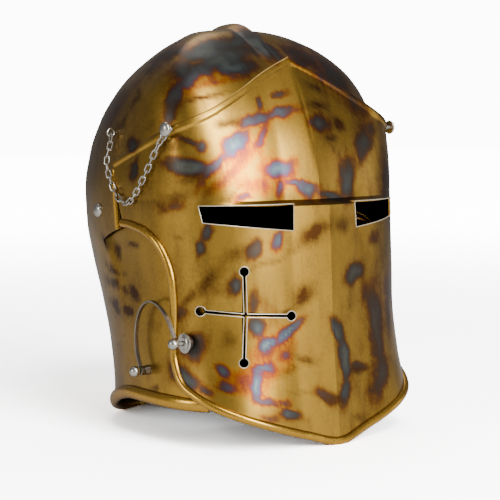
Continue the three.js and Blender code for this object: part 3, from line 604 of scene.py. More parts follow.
rim_depths = []
for i in range(SKULL_COLUMNS + 1):
    rim_depths.append(math.sqrt(SKULL_TOP_Z - rim_height_at(column_angle(i / SKULL_COLUMNS))))


def skull_shape(u, v):
    depth = v * rim_depths[round(u * SKULL_COLUMNS)]
    return place(*skull_point(column_angle(u), SKULL_TOP_Z - depth**2))


skull = grid_sheet(SKULL_COLUMNS, SKULL_ROWS, skull_shape)
bmesh.ops.remove_doubles(skull, verts=skull.verts, dist=WELD)
bmesh.ops.recalc_face_normals(skull, faces=skull.faces)
skull.normal_update()
print("skull sheet", len(skull.faces), "faces")

# %% Skull: the comb
COMB = {"half": 9.5, "foot_z": 244, "front_rise": 2.6, "crown_rise": 5.2, "ridge": 0.55, "ridge_power": 1.15}
COMB_GROWS = {"from_y": -48, "run": 56}
COMB_FADES = {"behind_y": 8, "run": 50}

for vert in skull.verts:
    x, y, z = vert.co.x / MM - MIDDLE_X, vert.co.y / MM + MIDDLE_Y, vert.co.z / MM
    if abs(x) < COMB["half"] and z > COMB["foot_z"]:
        grown = smooth((y - COMB_GROWS["from_y"]) / COMB_GROWS["run"])
        rise = mix(COMB["front_rise"], COMB["crown_rise"], grown)
        if y > COMB_FADES["behind_y"]:
            rise *= smooth((z - COMB["foot_z"]) / COMB_FADES["run"])
        share = 1 - abs(x) / COMB["half"]
        profile = COMB["ridge"] * share ** COMB["ridge_power"] + (1 - COMB["ridge"]) * smooth(share)
        vert.co += vert.normal * MM * rise * profile
print("top of the comb", round(max(v.co.z for v in skull.verts) / MM, 1))

# %% [markdown]
# ## The skull's opening
#
# The face opening is sawn out of the sheet in side view. Its edge runs down the temple plate, steps back
# below it, and then falls straight to the neck. The cut goes through both sides at once, because the outline
# is scribed along the direction across the helmet.

# %% Skull: face opening
# rows of (y, z) in the side drawing
TEMPLE_EDGE = [(-76, 250), (-67, 232), (-56, 228), (-24, 224), (4, 213), (14, 203), (12.6, 184), (10, 157.5)]
TEMPLE_FOOT = [(10, 157.5), (18, 155.4), (29, 151.8), (39, 147.2)]
CHEEK_BACK = [(33.5, 136.5), (32, 100), (32, -30)]
OPENING_FRONT = [(-140, -40), (-140, 250)]

opening = OPENING_FRONT + side_curve(TEMPLE_EDGE, steps=6) + side_curve(TEMPLE_FOOT, steps=4)[1:]
opening += CHEEK_BACK + [(32, -40)]
cut_away(skull, side_outline(opening), SIDEWAYS)
skull = thicken(skull, edges=INSIDE)
print("skull with its opening", len(skull.faces), "faces")

# %% [markdown]
# ## Cheeks
#
# Each cheek is a plate that lies a little deeper than the dome where the temple plate ends over it, and
# comes up to the dome's surface lower down. It follows the same sections as the skull, only sunk by the
# step, so that it can't cross the dome. Its own outline then keeps the piece of sheet that is wanted.

# %% Skull: cheeks
CHEEK_FRONT = [(-82, -30), (-82, 44), (-78, 92), (-64, 132), (-38, 157), (-6, 161), (26, 161), (42, 154)]
CHEEK_STEP = {"full": 3.0, "rear_z": 137, "rear_y": 33, "slope": 0.5, "run": 20, "soft": 50, "soft_from": 30}
CHEEK_SWEEP = (0.16, 0.74)  # shares of a half turn
CHEEK_TOP = 172
CHEEK_COLUMNS = 90
CHEEK_ROWS = 80


def cheek_point(angle, z, side):
    x, y, z = skull_point(angle, z)
    ahead = CHEEK_STEP["rear_y"] - y
    soft_run = CHEEK_STEP["soft"] * smooth(ahead / CHEEK_STEP["soft_from"])
    start = CHEEK_STEP["rear_z"] - ahead * CHEEK_STEP["slope"] - soft_run
    recess = CHEEK_STEP["full"] * smooth((z - start) / (CHEEK_STEP["run"] + soft_run))
    x, y, z = skull_point(angle, z, recess)
    return place(side * x, y, z)


def cheek_sheet(side):
    def shape(u, v):
        angle = mix(*CHEEK_SWEEP, u) * math.pi
        return cheek_point(angle, mix(CHEEK_TOP, rim_height_at(angle), v), side)

    sheet = grid_sheet(CHEEK_COLUMNS, CHEEK_ROWS, shape)
    cut_away(sheet, side_outline(CHEEK_FRONT + TEMPLE_FOOT[-1:] + CHEEK_BACK), SIDEWAYS, keep=True)
    bmesh.ops.recalc_face_normals(sheet, faces=sheet.faces)
    middle = sum((f.normal * f.calc_area() for f in sheet.faces), Vector())
    if middle.x * side < 0:
        bmesh.ops.reverse_faces(sheet, faces=sheet.faces)
    return thicken(sheet, edges=INSIDE)


def angle_at(y, z):
    """Angle at which the skull's surface reaches the depth y."""
    return settled(0.0, math.pi, lambda angle: skull_point(angle, z)[1] < y)


TEMPLE_BEAD = {"half": 2.8, "out": 0.3}

for side in (-1, 1):
    add_to(skull, cheek_sheet(side))
    edge = []
    for y, z in side_curve(TEMPLE_EDGE[-3:], steps=10):
        x, y, z = skull_point(angle_at(y, z), z, -TEMPLE_BEAD["out"])
        edge.append(place(side * x, y, z))
    add_to(skull, rod(edge, ellipse(TEMPLE_BEAD["half"], TEMPLE_BEAD["half"])), RIM)
print("skull with cheeks", len(skull.faces), "faces")

# %% [markdown]
# ## The neck's rim
#
# The neck's edge is rolled outward over a wire, which makes it stiff and safe to hold. Bending the sheet
# itself round would need many fine rows, so the roll is a rod that stands upright on the edge and swallows
# it. It is taller than it is thick, and where it would sink below the floor it is flattened, as a worn rim
# is.

# %% Skull: the rolled neck rim
NECK_ROLL = {"tall": 5.2, "thick": 3.4, "lift": -1.2, "out": 0.4}
NECK_STATIONS = 140

front_angle = angle_at(CHEEK_FRONT[0][0], NECK_RIM["side"])
neck_line = []
for k in range(NECK_STATIONS + 1):
    angle = mix(front_angle, 2 * math.pi - front_angle, k / NECK_STATIONS)
    x, y, z = skull_point(angle, rim_height_at(angle), -NECK_ROLL["out"])
    neck_line.append(place(x, y, z + NECK_ROLL["lift"]))
add_to(skull, rod(neck_line, ellipse(NECK_ROLL["tall"], NECK_ROLL["thick"], sides=18), across=UPWARD), RIM)
for vert in skull.verts:
    vert.co.z = max(0.0, vert.co.z)
print("skull with rims", len(skull.faces), "faces")

# %% [markdown]
# ## The visor
#
# The visor is drawn as columns from the brow down to the border. Each column starts at a station of the
# brow's edge, runs down the swelling upper face to the ledge over the eyes, drops over the ledge's lip, and
# follows the lower face to its station on the border. Both edges and the eye line are divided evenly, so the
# columns fan out without crossing. The lower face is a rounded section with a straight keel laid on it.

# %% Visor: its sections and edges
VISOR_Y = -20
# height, half width, reach forward, squareness
VISOR_SECTIONS = [
    (0, 109.5, 105.2, 3.9),
    (28, 108, 101.6, 3.6),
    (60, 106.4, 97.6, 3.1),
    (94, 106.2, 94.8, 2.8),
    (126, 107.6, 93.2, 2.7),
    (150, 109, 91.8, 2.6),
    (181, 110.5, 90, 2.5),
]
VISOR_KEYS, *VISOR_VALUES = zip(*VISOR_SECTIONS)
KEEL = {"rise": 4.4, "spread": 32}
LEDGE = {"top": 182.5, "low": 178.5, "keel_step": 10.5, "end": 96, "power": 0.6, "rows": 4}
VISOR_REAR = 4.5
VISOR_SWEEP = 0.8  # share of a half turn that its sides reach at most
# (x, z) rows round the chin, (y, z) rows up the side, (x, y, z) rows of the brow
BORDER_FRONT = [(0, 2.6), (22, 7.4), (46, 14.6), (70, 22.8), (90, 31.4)]
BORDER_SIDE = [(-84, 39.8), (-70, 48), (-61.5, 63), (-59.6, 84), (-59.4, 110), (-56.6, 131), (-47, 148.5)]
BORDER_SIDE += [(-31, 158.6), (-14, 162.2), (0, 163)]
BROW = [(0, -63.5, 289.5), (26, -67, 278), (52, -72, 264), (78, -73.5, 250.5), (95, -68, 242.5)]
BROW += [(103, -60, 238.2), (106.6, -42, 231.3), (108.8, -14, 220.8), (109.6, 11, 211.3)]


def visor_point(angle, z):
    half, front, power = (curve_value(VISOR_KEYS, v, z) for v in VISOR_VALUES)
    if angle > math.pi / 2:
        return half, VISOR_Y + (angle - math.pi / 2) * half, z
    x, y = rounded(angle, half, front, power)
    return x, y + VISOR_Y - KEEL["rise"] * max(0.0, 1 - x / KEEL["spread"]), z


def visor_angle(z, x=None, y=None):
    """Angle at which the lower face reaches x, or y, at this height."""

    def short(angle):
        at = visor_point(angle, z)
        return at[0] < x if x is not None else at[1] < y

    return settled(0.0, math.pi * VISOR_SWEEP, short)


print("keel at the ledge", [round(c, 1) for c in visor_point(0, LEDGE["low"])])

# %% Visor: stations on its three lines
VISOR_COLUMNS = 92
SAMPLES = 600
STRETCH = 100  # angles are stretched so that a curve weighs them like millimetres

end_angle = visor_angle(LEDGE["low"], y=VISOR_REAR)
angles = [end_angle * k / SAMPLES for k in range(SAMPLES + 1)]
eye_angles = evenly([Vector(visor_point(a, LEDGE["low"])) for a in angles], VISOR_COLUMNS, angles)

knots = [(STRETCH * visor_angle(z, x=x), 0, z) for x, z in BORDER_FRONT]
knots += [(STRETCH * visor_angle(z, y=y), 0, z) for y, z in BORDER_SIDE]
border_line = [(p.x / STRETCH, p.z) for p in flowing(knots, steps=40)]
border = evenly([Vector(visor_point(a, z)) for a, z in border_line], VISOR_COLUMNS, border_line)
brow = evenly(flowing(BROW, steps=60), VISOR_COLUMNS)
print("brow station in the middle", [round(c, 1) for c in brow[VISOR_COLUMNS // 2]])

# %% [markdown]
# ## The visor's sheet
#
# The upper face swells between the brow and the ledge, more at the keel than at the sides. Along the brow
# runs a raised hem, which is given as a small profile of where it lies and how far it stands out. All
# columns together are the shape of a grid, and its left half mirrors the right.

# %% Visor: one column
UPPER_ROWS = 30
LOWER_ROWS = 60
BULGE = {"keel": 7, "side": 1.5, "spread": 85, "lean": 0.92}
# Which way the upper face looks: it turns from ahead to aside between these shares of the columns.
FACING = {"side_from": 0.3, "ahead_until": 0.35, "turn": 0.4, "up": 0.25}
# The raised hem at the brow: share of its width from the edge down, and how far it stands out there.
HEM_WIDTH = 6.2
HEM_PROFILE = [(0, 0.2), (0.08, 0.9), (0.22, 1.3), (0.5, 1.4), (0.78, 1.3), (0.92, 0.9), (1, 0.2), (1.06, 0)]


def visor_column(i):
    """Points of one column from the brow to the border, in millimetres."""
    low = Vector(visor_point(eye_angles[i], LEDGE["low"]))
    set_back = LEDGE["keel_step"] * smooth((LEDGE["end"] - low.x) / LEDGE["end"]) ** LEDGE["power"]
    foot = Vector((low.x, low.y + set_back, LEDGE["top"]))
    top = brow[i]
    share = i / VISOR_COLUMNS
    aside = smooth((share - FACING["side_from"]) / FACING["turn"])
    ahead = -1 + smooth((share - FACING["ahead_until"]) / FACING["turn"])
    facing = Vector((aside, ahead, FACING["up"])).normalized()
    swell = mix(BULGE["keel"], BULGE["side"], smooth(foot.x / BULGE["spread"]))
    length = (top - foot).length

    def upper(t, amount=0.0):
        forward = swell * math.sin(math.pi * max(0.0, t) ** BULGE["lean"])
        bulge = Vector((0, -forward, 0)) if i == 0 else facing * forward
        return foot.lerp(top, t) + facing * amount + bulge

    points = [upper(1 - part * HEM_WIDTH / length, rise) for part, rise in HEM_PROFILE]
    start = 1 - HEM_PROFILE[-1][0] * HEM_WIDTH / length
    for j in range(UPPER_ROWS - 1, 0, -1):
        points.append(upper(start * j / UPPER_ROWS))
    points.append(foot)
    for j in range(1, LEDGE["rows"]):
        points.append(foot.lerp(low, j / LEDGE["rows"]))
    border_angle, border_z = border[i]
    for j in range(LOWER_ROWS + 1):
        t = j / LOWER_ROWS
        angle = mix(eye_angles[i], border_angle, t)
        points.append(Vector(visor_point(angle, mix(LEDGE["low"], border_z, t))))
    return points


visor_columns = [visor_column(i) for i in range(VISOR_COLUMNS + 1)]
print("points in a column", len(visor_columns[0]))

# %% Visor: the sheet
VISOR_ROWS = len(visor_columns[0]) - 1


def visor_shape(u, v):
    i = round(u * 2 * VISOR_COLUMNS) - VISOR_COLUMNS
    x, y, z = visor_columns[abs(i)][round(v * VISOR_ROWS)]
    return place(x if i > 0 else -x, y, z)


visor = grid_sheet(2 * VISOR_COLUMNS, VISOR_ROWS, visor_shape)
bmesh.ops.recalc_face_normals(visor, faces=visor.faces)
if sum(f.normal.y * f.calc_area() for f in visor.faces) > 0:
    bmesh.ops.reverse_faces(visor, faces=visor.faces)
print("visor sheet", len(visor.faces), "faces")

# %% [markdown]
# ## Eye slots and breaths
#
# Two slots below the ledge let the wearer see, and a cross of four holes joined by narrow slots lets air in
# on the wearer's right. Each is scribed on a flat that touches the curved face, as a paper pattern would be,
# and cut straight in from there. The cut is kept to its own part of the sheet, because the same line would
# also go through the far side of the visor.

# %% Visor: points on its lower face
EYE_SLOT = [(29.7, 180.2), (94, 179.4), (91.5, 167), (29.9, 160.3)]
CHORD_DROP = 3  # the slot's flat is taken this far below its upper corners
FACE_PASSES = 4


def on_face(x, z):
    """Frame point of the lower face at a signed x."""
    px, py, pz = visor_point(visor_angle(z, x=abs(x)), z)
    return place(math.copysign(px, x), py, pz)


def onto_face(p, direction):
    """The point of the lower face that is reached from p along the direction."""
    for _ in range(FACE_PASSES):
        x = p.x / MM - MIDDLE_X
        ahead = visor_point(visor_angle(p.z / MM, x=abs(x)), p.z / MM)[1]
        p = p + direction * (place(0, ahead, 0).y - p.y) * direction.y
    return p


def slot_flat(side):
    """A point of the flat that an eye slot is drawn on, the direction along it, and the one square to it."""
    inner, outer = (on_face(side * x, z - CHORD_DROP) for x, z in EYE_SLOT[:2])
    along = Vector((outer.x - inner.x, outer.y - inner.y, 0)).normalized()
    return inner, along, along.cross(UPWARD)


def slot_corners(side):
    inner, along, square = slot_flat(side)
    corners = []
    for x, z in EYE_SLOT:
        corner = inner + along * (place(side * x, 0, 0).x - inner.x) / along.x
        corner.z = z * MM
        corners.append(corner)
    return corners


print("slot corners", [[round(c / MM, 1) for c in corner] for corner in slot_corners(-1)])

# %% Visor: cutting the eye slots
# The parts of the sheet that the cuts stay in, in millimetres: away from the middle, heights, and ahead of y.
EYE_BAND = {"aside": 20, "low": 140, "high": 181.5, "ahead": -60}
CROSS_BAND = {"aside": 20, "low": 50, "high": 150, "ahead": -50}


def within(band, side):
    """A test of whether a face's centre lies in the band, on this side of the helmet."""

    def test(centre):
        if (centre.x / MM - MIDDLE_X) * side <= band["aside"] or centre.y / MM >= band["ahead"]:
            return False
        return band["low"] < centre.z / MM < band["high"]

    return test


for side in (-1, 1):
    cut_away(visor, slot_corners(side), slot_flat(side)[2], only=within(EYE_BAND, side))
print("visor with eye slots", len(visor.faces), "faces")

# %% Visor: cutting the cross
BREATH = {"radius": 3.7, "slot": 2.5}
BREATH_HOLES = {
    "top": (-69.3, 131.7),
    "outer": (-93.9, 102.4),
    "inner": (-34.8, 97.7),
    "bottom": (-72.9, 65.4),
}
HOLE_SIDES = 20

centres = {name: on_face(x, z) for name, (x, z) in BREATH_HOLES.items()}
right = (centres["inner"] - centres["outer"]).normalized()
square = right.cross((centres["top"] - centres["bottom"]).normalized()).normalized()
near_cross = within(CROSS_BAND, -1)


def around(centre, ahead, beside, turn):
    """Point of a breath hole's edge."""
    return centre + (ahead * math.cos(turn) + beside * math.sin(turn)) * BREATH["radius"] * MM


def bar(a, b):
    half = square.cross((b - a).normalized()).normalized() * BREATH["slot"] / 2 * MM
    return [a + half, b + half, b - half, a - half]


for centre in centres.values():
    turns = [2 * math.pi * k / HOLE_SIDES for k in range(HOLE_SIDES)]
    circle = [around(centre, right, square.cross(right), turn) for turn in turns]
    cut_away(visor, circle, square, only=near_cross)
cut_away(visor, bar(centres["outer"], centres["inner"]), square, only=near_cross)
cut_away(visor, bar(centres["bottom"], centres["top"]), square, only=near_cross)
visor = thicken(visor, edges=RIM)
print("visor with openings", len(visor.faces), "faces")

# %% [markdown]
# ## Painted edge highlights and the border
#
# A pale line of bare brass colour along every cut is a painted highlight for the light that a cut edge
# catches, and in the dark patina that thin line is what makes the openings look crisp. A colour alone would
# be blurred by the sheet's own faces, so each line is a very fine rod that lies on the outer face. The border
# is rolled over a wire, as at the neck.

# %% Visor: bright cut edges
EDGE_LINE_RADIUS = 0.36
EDGE_LINE_STEP = 3 * MM
ARC_STEPS = 20
BAR_STEPS = 12


def edge_highlight_line(line, direction, closed=False):
    """A painted highlight along a cut, as a fine pale line on the outer face."""
    on_outside = [onto_face(p, direction) for p in line]
    add_to(visor, rod(on_outside, ellipse(EDGE_LINE_RADIUS, EDGE_LINE_RADIUS, sides=8), closed=closed), CUT_EDGE)


for side in (-1, 1):
    corners = slot_corners(side)
    line = []
    for a, b in zip(corners, corners[1:] + corners[:1]):
        steps = max(2, round((b - a).length / EDGE_LINE_STEP))
        line += [a.lerp(b, k / steps) for k in range(steps)]
    edge_highlight_line(line, slot_flat(side)[2], closed=True)

crossing = (centres["outer"] + centres["inner"] + centres["top"] + centres["bottom"]) / 4
half_slot = BREATH["slot"] / 2 * MM
mouth = math.asin(BREATH["slot"] / 2 / BREATH["radius"])
for centre in centres.values():
    inward = (crossing - centre).normalized()
    beside = square.cross(inward).normalized()
    turns = [mix(mouth, 2 * math.pi - mouth, k / ARC_STEPS) for k in range(ARC_STEPS + 1)]
    edge_highlight_line([around(centre, inward, beside, turn) for turn in turns], square)
    start = math.cos(mouth) * BREATH["radius"] * MM
    length = (crossing - centre).length - half_slot
    for edge_side in (-1, 1):
        middle = [centre + inward * mix(start, length, k / BAR_STEPS) for k in range(BAR_STEPS + 1)]
        edge_highlight_line([p + beside * half_slot * edge_side for p in middle], square)
print("visor with bright edges", len(visor.faces), "faces")

# %% Visor: the rolled border
BORDER_ROLL = 3.2

border_edge = []
for i in range(-VISOR_COLUMNS, VISOR_COLUMNS + 1):
    x, y, z = visor_columns[abs(i)][-1]
    border_edge.append(place(x if i >= 0 else -x, y, z))
add_to(visor, rod(border_edge, ellipse(BORDER_ROLL, BORDER_ROLL, sides=18)), RIM)
for vert in visor.verts:
    vert.co.z = max(0.0, vert.co.z)
    vert.co.y = max(CAD_BOX[0][1], vert.co.y)
print("visor with its border", len(visor.faces), "faces")

# %% [markdown]
# ## Turned fittings
#
# Studs and rivets are turned on a lathe: a profile of radius and distance out is spun about an axis across
# the helmet. Their inner ends are peened over on the inside of the sheet, so that nothing pulls out. A
# cylinder and a sphere put together would leave a seam where the ball meets its shaft, which one spun
# profile doesn't.

# %% Turned fittings
LATHE_WELD = 0.004 * MM


def turned(side, y, z, profile, steps=40):
    """Spins a profile of (radius, distance out from the middle plane) about the X axis through (y, z)."""
    mesh = bmesh.new()
    verts = [mesh.verts.new(place(side * out, y, z) + UPWARD * radius * MM) for radius, out in profile]
    edges = [mesh.edges.new(pair) for pair in zip(verts, verts[1:])]
    bmesh.ops.spin(
        mesh,
        geom=verts + edges,
        cent=place(0, y, z),
        axis=SIDEWAYS,
        dvec=(0, 0, 0),
        angle=2 * math.pi,
        steps=steps,
        use_merge=True,
    )
    bmesh.ops.remove_doubles(mesh, verts=mesh.verts, dist=LATHE_WELD)
    bmesh.ops.recalc_face_normals(mesh, faces=mesh.faces)
    return mesh


def dome(radius, start, height, steps=9):
    """Profile of a domed head that starts at the given distance out."""
    arc = [(k / steps) * math.pi / 2 for k in range(steps + 1)]
    return [(radius * math.cos(a), start + height * math.sin(a)) for a in arc]


def peen(radius, edge, height, inside, shaft):
    """Profile of an inner end that is hammered wide and has an eased edge, from inside up to its shaft."""
    return [(0, inside), (radius, inside + edge), (radius, inside + height), (shaft, inside + height)]


def ball(shaft, radius, centre, steps=16):
    """Profile of a ball that grows out of its shaft."""
    start = math.asin(shaft / radius)
    arc = [math.pi - start - (math.pi - start) * k / steps for k in range(steps + 1)]
    return [(radius * math.sin(a), centre + radius * math.cos(a)) for a in arc]


print("a ball has", len(ball(1, 2, 0)), "profile points")

# %% Studs, rivets and the catch
# (y, z) of each in the side drawing
PIVOT = (-59, 234.8)
RIVET = (46, 170)
HOOK_STUD = (-24, 52.2)
CATCH = (-74.3, 79)
SHAFT = 1.8

temple_stud = peen(3.2, 0.3, 1.2, 87, SHAFT) + [(SHAFT, 109.3), (4.9, 109.3), (5.4, 109.45)]
temple_stud += dome(5.6, 109.8, 3.1)
side_rivet = peen(2.8, 0.3, 1.1, 98.2, 1.7) + [(1.7, 103.4), (5.2, 103.4)] + dome(5.4, 103.6, 2.7)
hook_stud = peen(3, 0.3, 1.2, 98, SHAFT) + [(SHAFT, 102.4), (4, 102.4), (3.4, 107.2), (SHAFT, 107.2)]
hook_stud += ball(SHAFT, 4.2, 114.8)
catch_stud = peen(3, 0.3, 1.2, 92.8, SHAFT) + ball(SHAFT, 4.2, 113.6)
washer_seat = [(2.1, 99.5), (5.0, 99.5), (6.4, 103.4)]
washer_step = [(7.3, 103.4), (7.6, 103.65), (7.6, 104.3), (7.3, 104.6), (5.0, 104.6), (4.7, 104.8)]
washer_boss = [(4.6, 105.3), (4.2, 105.7), (2.1, 105.7), (2.1, 99.5)]
washer = washer_seat + washer_step + washer_boss
print("ball stud profile", len(hook_stud), "points")

# %% [markdown]
# ## The hook
#
# The hook is a flat strip on edge, bent to a bow, with an eye round its stud. It could be cut from plate,
# but a strip that is carried along its line keeps the same thickness all round the bend, as bent spring
# brass does. Its corners are eased a little, so that they catch the light.

# %% Hook
HOOK = {"inner": 107.6, "outer": 110.8, "thickness": 1.5, "eye": 2.75, "ease": 0.25}
HOOK_ROUTE = [(-23.2, 54.9), (-19.4, 63), (-17.4, 72), (-17.6, 83), (-21.5, 95.5), (-29, 103.6)]
HOOK_ROUTE += [(-38.5, 106.6), (-49, 104), (-57.5, 98.2), (-64, 91), (-69.2, 82.4)]


def eased_box(wide, tall, ease):
    """Corners of a strip's section, from half measures, with its edges eased."""
    quarter = [(wide, tall - ease), (wide - ease, tall)]
    upper = quarter + [(-w, t) for w, t in reversed(quarter)]
    return upper + [(-w, -t) for w, t in upper]


half_strip = (HOOK["outer"] - HOOK["inner"]) / 2
half_thick = HOOK["thickness"] / 2
strip_line = [place(-HOOK["inner"] - half_strip, y, z) for y, z in side_curve(HOOK_ROUTE, steps=9)]
strip_section = [(wide * MM, tall * MM) for wide, tall in eased_box(half_strip, half_thick, HOOK["ease"])]
hook = rod(strip_line, strip_section, across=SIDEWAYS)
eye_inner, eye_outer = HOOK["eye"] - half_thick, HOOK["eye"] + half_thick
eye = [
    (eye_inner, HOOK["inner"]),
    (eye_outer - HOOK["ease"], HOOK["inner"]),
    (eye_outer, HOOK["inner"] + HOOK["ease"]),
    (eye_outer, HOOK["outer"] - HOOK["ease"]),
    (eye_outer - HOOK["ease"], HOOK["outer"]),
    (eye_inner, HOOK["outer"]),
    (eye_inner, HOOK["inner"]),
]
add_to(hook, turned(-1, *HOOK_STUD, eye))
print("hook", len(hook.faces), "faces")

# %% [markdown]
# ## The chain
#
# The chain keeps the stud from being lost when it is drawn. Each link is a loop of wire, turned a quarter
# from its neighbours, and passes through them. A chain can't be a bent tube, because its gaps show, so every
# link is a ring of its own, placed along a smooth line that hangs as the chain does.

# %% Chain: its line and its wire
LINK = {"wire": 0.6, "half": 1.8, "length": 3.65, "slack": 0.4, "turn": 45, "end_turn": 40, "end_run": 3}
END_LINK = {"half": 2.9, "length": 6, "x": 107.1, "play": 0.3}
EYE_PIN = {"y": 20, "z": 231.5, "ring": 3, "wire": 0.65, "reach": 107.2, "inside": 98.6}
CHAIN_ROUTE = [
    (-107.2, 20, 227.3),
    (-107.9, 20.3, 221),
    (-110, 20.8, 214),
    (-112.2, 18, 206),
    (-113.4, 12, 197),
    (-113.6, 4.5, 186.5),
    (-113.6, -4, 180.4),
    (-113.6, -13, 179),
    (-113.6, -21.5, 184),
    (-113.6, -32.5, 195.4),
    (-112.8, -40.5, 206),
    (-111.6, -47.5, 217.4),
    (-110, -52.9, 225.9),
]


def wire_loop(half, length, wire, arc_steps=9, sides=10):
    """A closed round-ended loop of wire about the origin, long along Z."""
    line = []
    for end in (1, -1):
        for k in range(arc_steps + 1):
            a = math.pi * k / arc_steps
            x, z = half * math.cos(a), length - half + half * math.sin(a)
            line.append(Vector((end * x, 0, end * z)) * MM)
    return rod(line, ellipse(wire, wire, sides=sides), across=Vector((0, 1, 0)), closed=True)


def move_to(mesh, wide, face, along, centre):
    """Turns a loop to the given directions and puts it at a point of the drawing."""
    turn = Matrix((wide, face, along)).transposed().to_4x4()
    bmesh.ops.transform(mesh, matrix=Matrix.Translation(place(*centre)) @ turn, verts=mesh.verts)


route = flowing(CHAIN_ROUTE, steps=60)
route_length = sum((b - a).length for a, b in zip(route, route[1:]))
print("chain's length", round(route_length, 1), "mm")

# %% Chain: links
pitch = 2 * LINK["length"] - 2 * LINK["wire"] - LINK["slack"]
link_steps = 2 * round(route_length / pitch / 2)
stations = evenly(route, link_steps)
numbers = evenly(route, link_steps, list(range(len(route))))
OUTWARD = Vector((-1, 0, 0))
NEARBY = 3  # the line's direction is taken over this many of its points each way
links = []
for k, (station, number) in enumerate(zip(stations, numbers)):
    along = (route[min(len(route) - 1, number + NEARBY)] - route[max(0, number - NEARBY)]).normalized()
    face = (OUTWARD - along * -along.x).normalized()
    twist = max(0.0, 1 - (link_steps - k) / LINK["end_run"]) - max(0.0, 1 - k / LINK["end_run"])
    turn = (LINK["turn"] if k % 2 == 0 else -LINK["turn"]) + LINK["end_turn"] * twist
    face.rotate(Matrix.Rotation(math.radians(turn), 3, along))
    link = wire_loop(LINK["half"], LINK["length"], LINK["wire"])
    move_to(link, face.cross(along), face, along, station)
    links.append(link)
print("links", len(links))

# %% Chain: end link and eye pin
neck = Vector((-END_LINK["x"], *PIVOT))
along = (neck - Vector(CHAIN_ROUTE[-1])).normalized()
wide = OUTWARD.cross(along).normalized()
hang = END_LINK["length"] - LINK["wire"] - END_LINK["play"] - SHAFT
end_link = wire_loop(END_LINK["half"], END_LINK["length"], LINK["wire"], arc_steps=12)
move_to(end_link, wide, along.cross(wide), along, neck - along * hang)

eye_pin = wire_loop(EYE_PIN["ring"], EYE_PIN["ring"], EYE_PIN["wire"], arc_steps=12)
bmesh.ops.translate(eye_pin, vec=place(-EYE_PIN["reach"], EYE_PIN["y"], EYE_PIN["z"]), verts=eye_pin.verts)
shank_end = EYE_PIN["reach"] - EYE_PIN["ring"]
shank = peen(2, 0.2, 1, EYE_PIN["inside"], EYE_PIN["wire"])
shank += [(EYE_PIN["wire"], shank_end), (0, shank_end + 0.2)]
add_to(eye_pin, turned(-1, EYE_PIN["y"], EYE_PIN["z"], shank, steps=16))
print("eye pin", len(eye_pin.faces), "faces")
